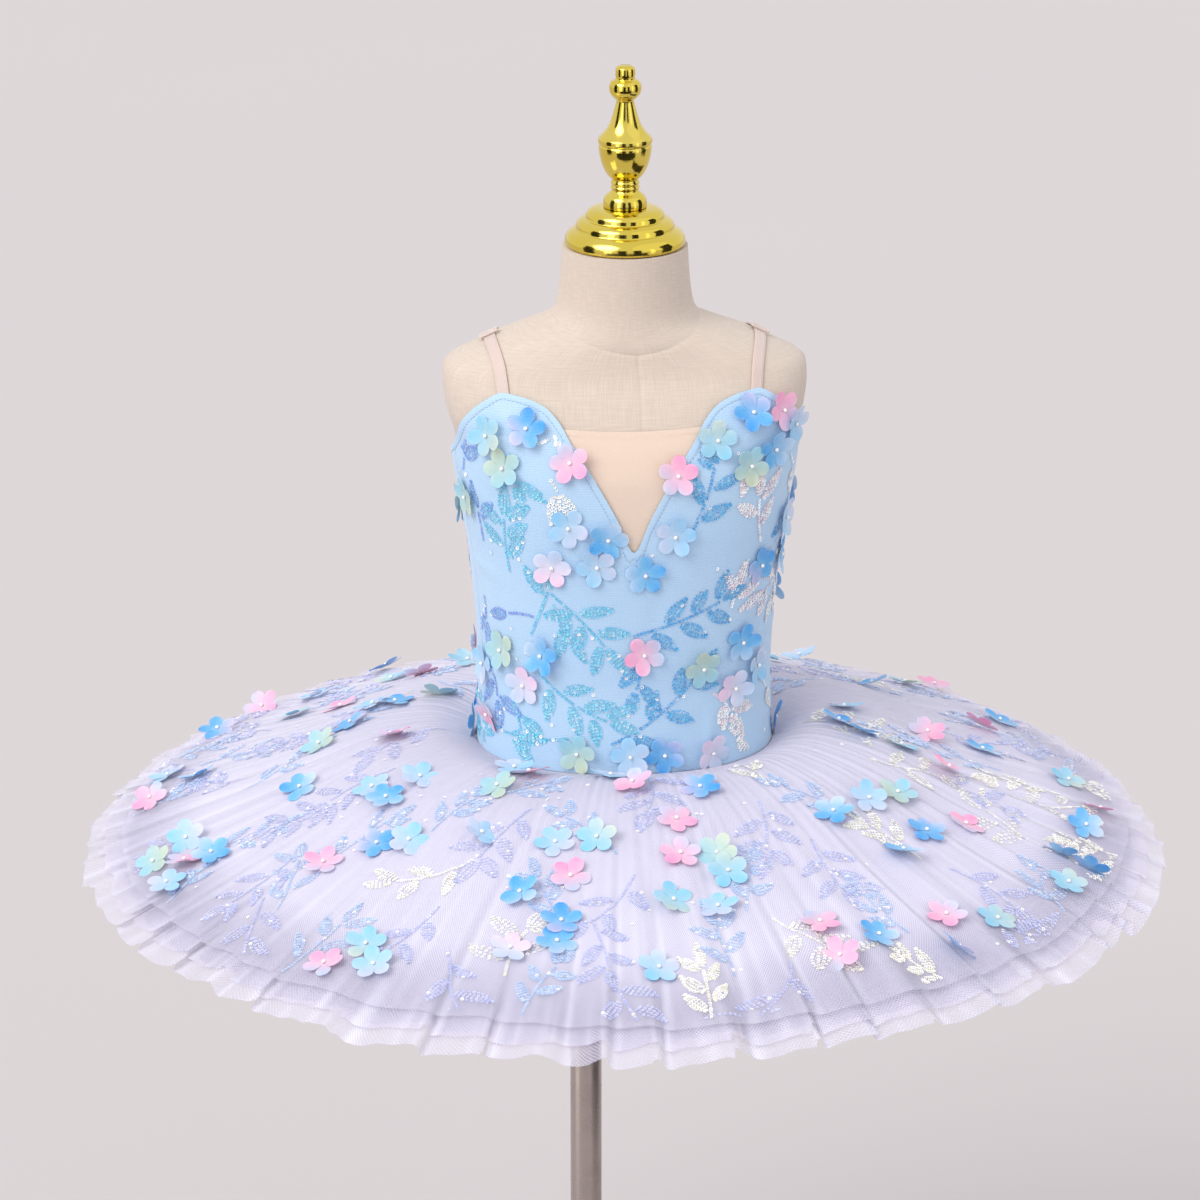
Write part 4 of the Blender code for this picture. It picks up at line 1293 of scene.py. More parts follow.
@dataclass
class Skirt:
    """The embroidered overlay and three gathered net layers under it."""

    radius: float = 337 * MM
    gathers: int = 50
    lean: float = 0.4
    gather_start: float = 0.15
    front_shortening: Pair = (0.015, 0.035)
    thickness: float = 1.2 * MM
    root_growth: float = 4.2 * MM
    layer_drop: float = 2.5 * MM
    hem_sink: float = 1.2 * MM
    cloth_round: float = 3.4
    cloth_length: float = 0.27
    fall: Curve = (
        (0, 0), (0.05, 4.5), (0.12, 8), (0.22, 5), (0.6, -28.1), (0.9, -53.2), (1.13, -72.0),
    )
    layers: tuple[Layer, ...] = (
        Layer("overlay_net", "skirt_overlay", 0, 1.0, 1.7, 7.0, 0.0),
        Layer("tulle_upper", "skirt_net_1", 1, 1.06, 2.6, 11.0, 3.0),
        Layer("tulle_middle", "skirt_net_2", 2, 1.104, 2.9, 11.0, 3.5),
        Layer("tulle_lower", "skirt_net_3", 3, 1.02, 3.1, 11.0, 4.0),
    )

    def pleat(self, bearing: Array) -> tuple[Array, Array]:
        """Which gather a bearing lies in, and how far through it, 0 to 1; gathers are not all as wide."""
        place = (np.asarray(bearing, float) + 180) / 360 * self.gathers
        turn = np.radians(bearing)
        place = place + 0.24 * np.sin(5 * turn) + 0.2 * np.sin(9 * turn + 2) + 0.12 * np.sin(17 * turn + 1)
        return np.floor(place).astype(int) % self.gathers, place % 1.0

    def uneven(self, seed: int, low: float, high: float) -> Array:
        """A number for each gather, the same each time."""
        return np.random.default_rng(seed).uniform(low, high, self.gathers)

    def wave(self, bearing: Array) -> Array:
        """The gathers' height: 1 on a crest, -1 in a trough, a little uneven all round."""
        phase = self.pleat(bearing)[1]
        even = np.where(phase < self.lean, phase / self.lean / 2,
                        0.5 + (phase - self.lean) / (1 - self.lean) / 2)
        turn = np.radians(bearing)
        return np.cos(2 * np.pi * even) * (0.8 + 0.12 * np.sin(7 * turn) + 0.08 * np.sin(11 * turn + 1))

    def ripples(self, bearing: Array, share: Array, free_edge: float) -> Array:
        """Fine gathers, deep at the waist and fading outwards, in metres.

        Args:
            bearing: Degrees round the body.
            share: How far out.
            free_edge: How deep they are again at a free edge, in millimetres.

        Returns:
            The lift.
        """
        turn = np.radians(bearing)
        fine = (np.sin(97 * turn) + np.sin(131 * turn + 3 * share) + np.sin(163 * turn + 2 * share)) / 3
        broad = np.sin(61 * turn + 1.5 * np.sin(5 * turn))
        near = ease(0.0, 0.06, share) * np.exp(-share / 0.22)
        far = 0.35 * ease(0.1, 0.4, share) * (1 - 0.5 * ease(0.6, 1.0, share))
        return (0.7 * near + far + free_edge * ease(0.75, 1.05, share)) * (fine + 0.5 * broad) * MM

    def edge(self, layer: Layer, bearing: Array) -> Array:
        """Where a layer ends: the overlay is shorter at the front, and nets end in stepped pleats."""
        turn = np.radians(bearing)
        if layer.order == 0:
            cut = 0.004 * np.sin(9 * turn + 1) + 0.003 * np.sin(23 * turn)
            return 1 - self.front_shortening[0] * np.maximum(0, np.cos(turn)) ** 2 + cut
        number, phase = self.pleat(bearing)
        slope = self.uneven(20 + layer.order, -0.004, 0.028)[number]
        shift = self.uneven(30 + layer.order, -0.012, 0.008)[number]
        bulge = self.uneven(40 + layer.order, 0.0, 0.012)[number] * np.sin(np.pi * phase)
        frill = 0.003 * np.sin(61 * turn + 3 * np.sin(4 * turn)) + 0.002 * np.sin(113 * turn)
        front = self.front_shortening[1] * np.maximum(0, np.cos(turn)) ** 2
        return layer.length * (1 + slope * (phase - 0.5) + shift + bulge + frill - 0.004) * (1 - front)

    def fold_cover_and_highlight(self, layer: Layer, bearing: Array, share: Array) -> Array:
        """How much a fold doubles the net at a place, 0 to 1: on each gather's turn and on fine creases. The net's
        material adds cover there and paints a highlight.
        """
        number, phase = self.pleat(bearing)
        turn = np.radians(bearing)
        strength = self.uneven(60 + layer.order, 0.2, 1.0)[number]
        turned = bell(phase - self.lean, 0.07) + 0.6 * bell(np.minimum(phase, 1 - phase), 0.05)
        # Fine crease lines that exist only in the paint, as highlight and extra cover; no geometry follows them.
        fine = np.maximum(0, np.sin(83 * turn + 3 * np.sin(6 * turn + layer.order))) ** 6
        return np.clip(turned * strength + 0.45 * fine, 0, 1) * ease(0.25, 0.95, share)

    def point(self, layer: Layer, bearing: Array, share: Array, lift: Array) -> Array:
        """A point over a layer's upper face.

        Args:
            layer: The layer.
            bearing: Degrees round the body.
            share: How far out, 1 at the overlay's radius.
            lift: Metres above the face.

        Returns:
            The points, (..., 3).
        """
        drop = self.layer_drop * layer.order
        growth = np.maximum(0, (share - self.gather_start) / (1 - self.gather_start))
        wave = self.wave(bearing)
        number, phase = self.pleat(bearing)
        folds = self.uneven(50, 0.0, 1.0)
        blend = ease(0, 1, phase)
        uneven = folds[number] * (1 - blend) + folds[(number + 1) % self.gathers] * blend
        fold = layer.fold * uneven
        sway = fold * MM * wave * growth ** 1.5 / self.radius
        turn = np.radians(bearing) + sway
        root = BODY.point(np.degrees(turn), -drop - self.thickness, self.root_growth)
        rim = np.stack((np.sin(turn), -np.cos(turn)), axis=-1) * self.radius
        level = share[..., None] if np.ndim(share) else share
        flat = root[..., :2] + (rim - root[..., :2]) * level
        height = smooth_read(self.fall, share) * MM - drop - layer.spread * MM * share
        height = height + layer.gather * MM * growth * wave + self.ripples(bearing, share, 0.7 * (layer.order > 0))
        if layer.order == 0:
            height = height - self.hem_sink * ease(0.86, 1.0, share / self.edge(layer, bearing))
        return np.concatenate((flat, (WAIST + height + lift)[..., None]), axis=-1)

    def build(self) -> list[Piece]:
        """Make all four layers."""
        tint = linear(232, 228, 248)
        finishes = (
            Tulle("overlay_net", tint, 2.6 * MM, 0.84, 0.22, (0.2, 0.266)),
            Tulle("tulle_upper", tint, 2.7 * MM, 0.92, 0.24, (0.2, 0.264)),
            Tulle("tulle_middle", tint, 2.8 * MM, 0.94, 0.28, (0.2, 0.262)),
            Tulle("tulle_lower", tint, 2.7 * MM, 0.95, 0.3, (0.22, 0.266)),
        )
        made = []
        for layer in self.layers:
            columns, rows = (1000, 31) if layer.order == 0 else (900, 20)
            bearing = np.arange(columns) * 360 / columns - 180
            steps = np.linspace(0, 1, rows) ** 1.25
            share = self.edge(layer, bearing)[None, :] * steps[:, None]
            around = np.broadcast_to(bearing, share.shape)
            points = self.point(layer, around, share, np.zeros(share.shape))
            along = np.broadcast_to(steps[:, None], share.shape)
            cloth = np.stack((around / 360 * self.cloth_round, along * self.cloth_length), axis=-1)
            piece = sheet(layer.name, points, join_round(cloth, self.cloth_round), ring=True, turned=True)
            # The fold mask carries a painted highlight along folds and creases; it is halved on the overlay.
            lines = self.fold_cover_and_highlight(layer, around, share) * (0.5 if layer.order == 0 else 1.0)
            piece.data.attributes.new("fold", "FLOAT", "POINT").data.foreach_set("value", lines.ravel())
            thicken(piece, 0.4 * MM)
            smooth(piece, 70)
            dress(piece, finishes[layer.order].material(), layer.node)
            made.append(piece)
        return made


# ---------------- straps


@dataclass
class Straps:
    """Two narrow elastic straps over the shoulders, with a plastic slider on each."""

    run: Curve = ((-60, 79), (-50, 80.5), (0, 87.5), (70, 73))
    front_height: float = 247 * MM
    back_height: float = 190 * MM
    step: float = 7 * MM
    width: float = 8 * MM
    gap: float = 0.4 * MM
    thickness: float = 1.0 * MM
    slider_width: float = 12.7 * MM
    slider_length: float = 7.6 * MM
    slider_bar: float = 1.3 * MM
    slider_thickness: float = 1.4 * MM
    seam_gap: float = 0.3 * MM

    def across(self, y: float) -> float:
        """How far from the middle the strap lies, at a depth."""
        return float(smooth_read([(row[0] * MM, row[1] * MM) for row in self.run], np.array(y)))

    def route(self) -> Array:
        """Points on the form under the strap's middle, from the bodice's front edge to its back edge."""
        y, height, heading = -90 * MM, self.front_height, math.pi / 2
        while BODY.beyond(self.across(y), y, height) > 1:
            y += 0.05 * MM
        points = [(self.across(y), y, height)]
        while not (y > 0 and height < self.back_height):
            low, high = heading - math.radians(100), heading + math.radians(60)
            for _ in range(30):
                middle = (low + high) / 2
                ahead, up = y + self.step * math.cos(middle), height + self.step * math.sin(middle)
                inside = BODY.beyond(self.across(ahead), ahead, up) < 1
                low, high = (middle, high) if inside else (low, middle)
            heading = (low + high) / 2
            y, height = y + self.step * math.cos(heading), height + self.step * math.sin(heading)
            points.append((self.across(y), y, height))
        before, last = np.array(points[-2]), np.array(points[-1])
        points[-1] = tuple(before + (last - before) * (before[2] - self.back_height) / (before[2] - last[2]))
        return np.array(points)

    def frames(self, side: int) -> tuple[Array, Array, Array, Array]:
        """The strap's line with its outward, width and forward directions.

        Args:
            side: -1 for the viewer's left, 1 for the right.

        Returns:
            Points and three directions, (n, 3) each.
        """
        coarse = self.route() * (side, 1, 1)
        run = run_along(coarse)
        fine = np.linspace(0, run[-1], 96)
        line = np.stack([smooth_read(list(zip(run, coarse[:, axis])), fine) for axis in range(3)], axis=1)
        along = np.gradient(line, axis=0)
        along /= np.linalg.norm(along, axis=1, keepdims=True)
        step = 0.5 * MM
        out = []
        for x, y, height in line:
            slope = [BODY.beyond(x + dx, y + dy, height + dz) - BODY.beyond(x - dx, y - dy, height - dz)
                     for dx, dy, dz in ((step, 0, 0), (0, step, 0), (0, 0, step))]
            out.append(np.array(slope) / np.linalg.norm(slope))
        out = np.array(out)
        kernel = np.ones(5) / 5
        padded = np.pad(out, ((2, 2), (0, 0)), mode="edge")
        out = np.stack([np.convolve(padded[:, axis], kernel, "valid") for axis in range(3)], axis=1)
        width = np.cross(along, out)
        width /= np.linalg.norm(width, axis=1, keepdims=True)
        return line + (0, 0, WAIST), np.cross(width, along), width, along

    def build(self) -> None:
        """Make both straps and both sliders."""
        elastic, plastic = Elastic().material(), Plastic().material()
        for word, side in (("left", -1), ("right", 1)):
            line, out, width, along = self.frames(side)
            strap = self.build_strap(f"elastic_{word}", line, out, width)
            dress(strap, elastic, f"strap_{word}")
            top = int(np.argmax(line[:, 2]))
            slider = self.build_slider(f"adjuster_{word}", line[top], out[top], width[top], along[top])
            dress(slider, plastic, f"slider_{word}")

    def build_strap(self, name: str, line: Array, out: Array, width: Array) -> Piece:
        """Sweep the strap's flat section, with rounded edges, along its line."""
        half, thick, edge = self.width / 2, self.thickness, 0.35 * MM
        section = ((-half, 0.3), (-half + edge, 0.0), (half - edge, 0.0), (half, 0.3), (half, 0.7),
                   (half - edge, 1.0), (half / 2, 0.94), (0, 0.97), (-half / 2, 0.94), (-half + edge, 1.0),
                   (-half, 0.7))
        sides = np.array([entry[0] for entry in section])
        lifts = self.gap + np.array([entry[1] for entry in section]) * thick
        points = line[:, None] + width[:, None] * sides[None, :, None] + out[:, None] * lifts[None, :, None]
        cloth = np.stack(np.broadcast_arrays(sides[None, :], run_along(line)[:, None]), axis=-1)
        strap = sheet(name, points, join_round(cloth, 0.0), ring=True)
        fill_holes(strap)
        face_outwards(strap)
        smooth(strap, 50)
        return strap

    def build_slider(self, name: str, middle: Array, out: Array, width: Array, along: Array) -> Piece:
        """Shape the slider from a grid: two windows are cut, the frame is drawn up and its edges rounded."""
        deselect_all()
        bpy.ops.mesh.primitive_grid_add(x_subdivisions=3, y_subdivisions=5, size=1, location=(0, 0, 0))
        slider = bpy.context.object
        slider.name = slider.data.name = name
        half, long_half, bar = self.slider_width / 2, self.slider_length / 2, self.slider_bar
        columns = (-half, -half + bar, half - bar, half)
        rows = (-long_half, -long_half + bar, -bar / 2, bar / 2, long_half - bar, long_half)
        for vertex in slider.data.vertices:
            column = round((vertex.co.x + 0.5) * 3)
            row = round((vertex.co.y + 0.5) * 5)
            vertex.co = (columns[column], rows[row], 0)
        slider.data.update()
        delete_faces(
            slider,
            lambda face: abs(face.center.x) < half - bar and bar / 2 < abs(face.center.y) < long_half - bar,
            "FACE",
        )
        with editing(slider):
            bpy.ops.mesh.extrude_region_move(TRANSFORM_OT_translate={"value": (0, 0, self.slider_thickness)})
        face_outwards(slider)
        apply_modifier(slider, "BEVEL", width=0.35 * MM, segments=3, limit_method="ANGLE")
        seat = middle + out * (self.gap + self.thickness + self.seam_gap)
        turn = np.stack((width, along, out), axis=1)
        for vertex in slider.data.vertices:
            vertex.co = seat + turn @ np.array(vertex.co)
        face_outwards(slider)
        smooth(slider)
        return slider


# ---------------- flowers, sequins and stitches


class Kind(Enum):
    """How a flower is dyed: its colour from one side to the other."""

    SKY = (linear(30, 150, 230), linear(104, 188, 240), linear(216, 208, 242))
    BLUE = (linear(48, 160, 232), linear(116, 196, 242), linear(206, 226, 246))
    AQUA = (linear(118, 200, 232), linear(168, 216, 234), linear(214, 228, 214))
    GREEN = (linear(142, 204, 226), linear(180, 216, 216), linear(214, 226, 194))
    PINK = (linear(252, 154, 200), linear(248, 194, 220), linear(206, 222, 246))
    PALE = (linear(134, 204, 244), linear(182, 218, 244), linear(222, 224, 244))
    WHITE = (linear(244, 204, 230), linear(226, 226, 244), linear(202, 222, 246))


SKY, BLUE, AQUA, GREEN, PINK, PALE, WHITE = Kind


@dataclass
class Flowers:
    """Five-petalled organza flowers with a bead in each, sewn to the bodice and the overlay.

    Rows are (first coordinate, second coordinate, degrees turned, kind).
    """

    petals: int = 5
    reach: float = 13.4 * MM
    half_width: float = 4.95 * MM
    outline: Curve = (
        (0.04, 0.26), (0.18, 0.46), (0.34, 0.76), (0.5, 0.96), (0.64, 1.0), (0.77, 0.92), (0.87, 0.76), (0.94, 0.56),
        (0.985, 0.31), (1.0, 0.1),
    )
    thickness: float = 0.14 * MM
    bead: float = 1.35 * MM
    seed: int = 5
    front: tuple[tuple[float, float, float, Kind], ...] = (
        (-32, 232, 10, SKY), (37, 238, 30, SKY), (-46, 226, 50, AQUA), (26, 224, 5, AQUA), (-43, 206, 40, GREEN),
        (49, 214, 20, BLUE), (39, 206, 55, GREEN), (14, 204, 15, PINK), (-20, 213, 35, PINK), (67, 160, 0, PALE),
        (-68, 178, 25, GREEN), (-22, 171, 60, PALE), (14, 165, 10, PALE), (-13, 145, 45, PALE), (4, 139, 20, BLUE),
        (-29, 143, 5, WHITE), (52, 134, 30, SKY), (-35, 80, 12, BLUE), (-55, 77, 42, GREEN), (-44, 56, 22, WHITE),
        (4, 83, 52, PINK), (27, 70, 32, GREEN), (45, 83, 2, BLUE), (42, 52, 62, WHITE), (56, 62, 16, PALE),
        (-66, 28, 36, PINK), (-21, 14, 8, GREEN), (-1, 12, 26, PALE), (12, 13, 48, SKY), (31, 10, 66, WHITE),
        (49, 237, 44, PINK), (-9, 164, 70, BLUE), (58, 226, 12, PALE), (72, 132, 50, BLUE), (-72, 60, 15, PALE),
    )
    back: tuple[tuple[float, float, float, Kind], ...] = (
        (98, 168, 10, BLUE), (118, 150, 40, PINK), (140, 172, 25, AQUA), (160, 152, 55, SKY), (104, 96, 5, PALE),
        (132, 108, 30, GREEN), (158, 96, 50, PINK), (180, 120, 15, SKY), (200, 160, 35, PALE), (222, 168, 8, PINK),
        (242, 146, 60, BLUE), (262, 160, 20, GREEN), (210, 104, 44, WHITE), (238, 96, 12, SKY), (260, 60, 28, PINK),
        (110, 34, 38, WHITE), (140, 50, 18, BLUE), (172, 44, 58, GREEN), (220, 46, 2, PALE), (248, 22, 33, SKY),
        (269, 8, 20, BLUE), (84, 12, 40, SKY),
    )
    skirt: tuple[tuple[float, float, float, Kind], ...] = (
        (-119, 0.90, 0, SKY), (-130, 0.92, 20, PINK), (-100, 0.81, 40, BLUE), (-97, 0.93, 10, PINK),
        (-104, 0.92, 50, PALE), (-121, 0.66, 30, AQUA), (-96, 0.44, 60, GREEN), (-120, 0.49, 15, PINK),
        (-111, 0.26, 45, BLUE), (-102, 0.36, 5, SKY), (-79, 0.51, 35, BLUE), (-64, 0.37, 25, PALE),
        (-57, 0.27, 55, PALE), (-49, 0.51, 8, SKY), (-54, 0.63, 48, PINK), (-79, 0.83, 22, PALE),
        (-73, 0.87, 62, PINK), (-77, 0.93, 18, GREEN), (-37, 0.83, 42, AQUA), (-40, 0.92, 12, PINK),
        (-34, 0.88, 52, PALE), (-140, 0.57, 28, AQUA), (-137, 0.39, 3, PINK), (-146, 0.32, 38, AQUA),
        (-115, 0.14, 58, GREEN), (-36, 0.21, 16, GREEN), (-38, 0.10, 46, PALE), (-1, 0.15, 6, PINK),
        (16, 0.19, 36, SKY), (-32, 0.40, 26, PALE), (-17, 0.39, 56, PALE), (-9, 0.37, 14, AQUA),
        (-20, 0.57, 44, BLUE), (-13, 0.50, 4, PINK), (-13, 0.65, 34, SKY), (-19, 0.76, 24, WHITE),
        (7, 0.31, 54, PINK), (6, 0.43, 11, PINK), (13, 0.44, 41, GREEN), (10, 0.61, 1, PALE), (3, 0.58, 31, AQUA),
        (0, 0.80, 21, PALE), (124, 0.51, 51, BLUE), (131, 0.79, 9, GREEN), (131, 0.93, 39, PINK),
        (114, 0.85, 19, BLUE), (84, 0.18, 49, SKY), (93, 0.45, 7, PINK), (95, 0.62, 37, BLUE), (80, 0.36, 17, AQUA),
        (77, 0.49, 47, PINK), (40, 0.39, 27, BLUE), (50, 0.39, 57, PALE), (58, 0.42, 13, GREEN),
        (53, 0.55, 43, SKY), (62, 0.60, 2, PINK), (44, 0.58, 32, BLUE), (23, 0.71, 23, PINK), (29, 0.79, 53, BLUE),
        (23, 0.83, 10, PINK), (36, 0.91, 40, SKY), (40, 0.80, 20, PINK), (46, 0.87, 50, AQUA), (92, 0.86, 0, AQUA),
        (77, 0.88, 30, BLUE), (85, 0.93, 60, PINK), (66, 0.85, 15, BLUE), (66, 0.93, 45, SKY), (160, 0.30, 5, PALE),
        (172, 0.52, 35, PINK), (165, 0.60, 25, BLUE), (-172, 0.34, 55, AQUA), (-160, 0.62, 18, PINK),
        (-168, 0.84, 48, BLUE), (150, 0.84, 8, PALE), (176, 0.86, 38, PINK), (-150, 0.86, 28, SKY),
        (145, 0.40, 58, AQUA), (-57, 0.38, 20, BLUE), (-72, 0.80, 40, BLUE), (-71, 0.94, 5, PALE),
        (-112, 0.33, 12, PALE), (-31, 0.13, 30, PINK), (-8, 0.07, 50, PALE), (60, 0.91, 22, AQUA),
        (79, 0.24, 15, BLUE), (-44, 0.47, 33, PALE), (-13, 0.72, 60, BLUE), (13, 0.50, 18, AQUA),
        (98, 0.22, 48, PALE), (-84, 0.24, 8, PINK), (-132, 0.74, 52, PALE), (108, 0.70, 27, PINK),
    )

    def petal(self, lift: float, curl: float) -> Array:
        """One petal's upper face: rows from base to tip, five points across.

        Args:
            lift: How high its tip stands, in metres.
            curl: How far its sides turn up, in metres.

        Returns:
            Its points, (50, 3), with the flower's centre at the origin.
        """
        points = []
        for along, breadth in self.outline:
            for aside in (-1.0, -0.55, 0.0, 0.55, 1.0):
                y = self.half_width * breadth * aside
                x = self.reach * along
                z = 0.9 * MM + lift * along ** 1.6 + curl * aside * aside * along - 0.5 * MM * along ** 6
                points.append((x, y, z))
        return np.array(points)

    def flower(self, random: np.random.Generator, kind: Kind) -> tuple[Array, Array]:
        """One flower's points and their colours: dyed from one side to the other, with a painted highlight on the
        petals' rims.
        """
        points, tints = [], []
        dye = random.uniform(0, 2 * math.pi)
        stops = np.array(kind.value)
        for number in range(self.petals):
            angle = 2 * math.pi * number / self.petals + random.uniform(-0.08, 0.08)
            petal = self.petal(random.uniform(0.8, 3.8) * MM, random.uniform(-0.5, 0.6) * MM)
            petal[:, 2] += (number % 2) * 0.14 * MM
            cosine, sine = math.cos(angle), math.sin(angle)
            turned = petal @ np.array(((cosine, sine, 0), (-sine, cosine, 0), (0, 0, 1)))
            shade = (turned[:, 0] * math.cos(dye) + turned[:, 1] * math.sin(dye)) / self.reach * 0.5 + 0.5
            shade = np.clip(shade + random.uniform(-0.1, 0.1), 0, 1)[:, None]
            colour = np.where(shade < 0.5, stops[0] + (stops[1] - stops[0]) * shade * 2,
                              stops[1] + (stops[2] - stops[1]) * (shade * 2 - 1))
            centre = 1 - ease(0.0, 0.45, np.hypot(petal[:, 0], petal[:, 1]) / self.reach)
            # Painted highlight: each petal is lightened towards white at its side edges, from a third of the way out;
            # the paler centre is the dye.
            rim = np.tile((1.0, 0.2, 0.0, 0.2, 1.0), len(self.outline)) * ease(0.3, 0.6, petal[:, 0] / self.reach)
            pale = np.maximum(0.2 * centre, 0.12 * rim)[:, None]
            points.append(turned)
            tints.append(np.concatenate((colour * (1 - pale) + pale, 0.9 - 0.36 * shade), axis=1))
        return np.concatenate(points), np.concatenate(tints)

    def sew(self, name: str, panel: Panel, rows: Sequence[tuple[float, float, float, Kind]], unit: float,
            most_tilt: float) -> Array:
        """Make a group of flowers and their beads on a panel.

        Args:
            name: The group's name.
            panel: What they are sewn to.
            rows: Their rows.
            unit: The second coordinate's unit.
            most_tilt: How far a flower may tip over, in degrees.

        Returns:
            Where the flowers are, (n, 3).
        """
        random = np.random.default_rng(self.seed + len(rows))
        u = np.array([row[0] for row in rows], float)
        v = np.array([row[1] * unit for row in rows])
        turn = np.radians([row[2] for row in rows])
        origins, axes = panel.axes(u, v, turn)
        tilt = np.radians(random.uniform(0, most_tilt, len(rows)))
        axes = lean(axes, tilt, random.uniform(0, 2 * math.pi, len(rows)))
        made = [self.flower(random, row[3]) for row in rows]
        shapes = np.stack([entry[0] for entry in made])
        tints = np.stack([entry[1] for entry in made])
        shapes[:, :, 2] += (np.sin(tilt) * self.reach * 0.55)[:, None]
        size = 5 * len(self.outline)
        grid = np.arange(size).reshape(-1, 5)
        patch = np.stack((grid[:-1, :-1], grid[1:, :-1], grid[1:, 1:], grid[:-1, 1:]), axis=-1).reshape(-1, 4)
        faces = np.concatenate([patch + size * number for number in range(self.petals)])
        petals = copies(f"{name}_petals", shapes, faces, origins, axes, tints)
        thicken(petals, self.thickness)
        smooth(petals, 50)
        dress(petals, Organza().material())
        seats = origins + axes[:, 2] * (2.2 * MM + np.sin(tilt) * self.reach * 0.55)[:, None]
        beads = self.beads(f"{name}_beads", seats, axes)
        dress(beads, Pearl().material())
        return origins

    def beads(self, name: str, seats: Array, axes: Array) -> Piece:
        """Copy one small bead to each seat."""
        deselect_all()
        bpy.ops.mesh.primitive_uv_sphere_add(segments=10, ring_count=6, radius=self.bead)
        pattern = bpy.context.object
        with editing(pattern):
            bpy.ops.transform.resize(value=(1, 1, 0.82))
        shape = np.array([vertex.co for vertex in pattern.data.vertices])
        corners = [[*face.vertices, face.vertices[0]][:4] for face in pattern.data.polygons]
        quads = np.array([corner for corner, face in zip(corners, pattern.data.polygons) if len(face.vertices) == 4])
        tips = [tuple(face.vertices) for face in pattern.data.polygons if len(face.vertices) == 3]
        bpy.data.objects.remove(pattern)
        beads = copies(name, shape, quads, seats, axes)
        self.close_beads(beads, tips, len(shape), len(seats))
        beads.data.shade_smooth()
        return beads

    @staticmethod
    def close_beads(beads: Piece, tips: list[tuple[int, ...]], size: int, count: int) -> None:
        """Add the beads' pointed faces, which the quads leave open."""
        mesh = beads.data
        points = [tuple(vertex.co) for vertex in mesh.vertices]
        faces = [tuple(face.vertices) for face in mesh.polygons]
        for number in range(count):
            faces += [tuple(corner + number * size for corner in tip) for tip in tips]
        mesh.clear_geometry()
        mesh.from_pydata(points, [], faces)


class Glitter(Enum):
    """Colours of a spray's sequins: first and second tint, and how many are bright white, painted glints as if they
    caught the light.
    """

    TURQUOISE = (linear(62, 196, 236), linear(156, 234, 252), 0.025)
    OCEAN = (linear(30, 152, 226), linear(110, 208, 248), 0.012)
    VIOLET = (linear(124, 140, 232), linear(136, 202, 248), 0.012)
    ROSE = (linear(255, 224, 230), linear(255, 242, 242), 0.55)
    CREAM = (linear(255, 252, 238), linear(250, 250, 244), 0.5)
    ICE = (linear(184, 194, 248), linear(220, 222, 255), 0.03)
    AQUA_ICE = (linear(168, 206, 252), linear(210, 226, 255), 0.03)
    # MILK stands for sequins turned to reflect the light: a painted reflection.
    MILK = (linear(255, 253, 226), linear(253, 251, 240), 0.3)


TURQUOISE, OCEAN, VIOLET, ROSE, CREAM, ICE, AQUA_ICE, MILK = Glitter


@dataclass(frozen=True)
class Spray:
    """A stem with leaves: start (two coordinates), heading in degrees, stem length in mm, leaves, bend, tint."""

    u: float
    v: float
    heading: float
    stem: float
    leaves: int
    bend: float
    glitter: Glitter


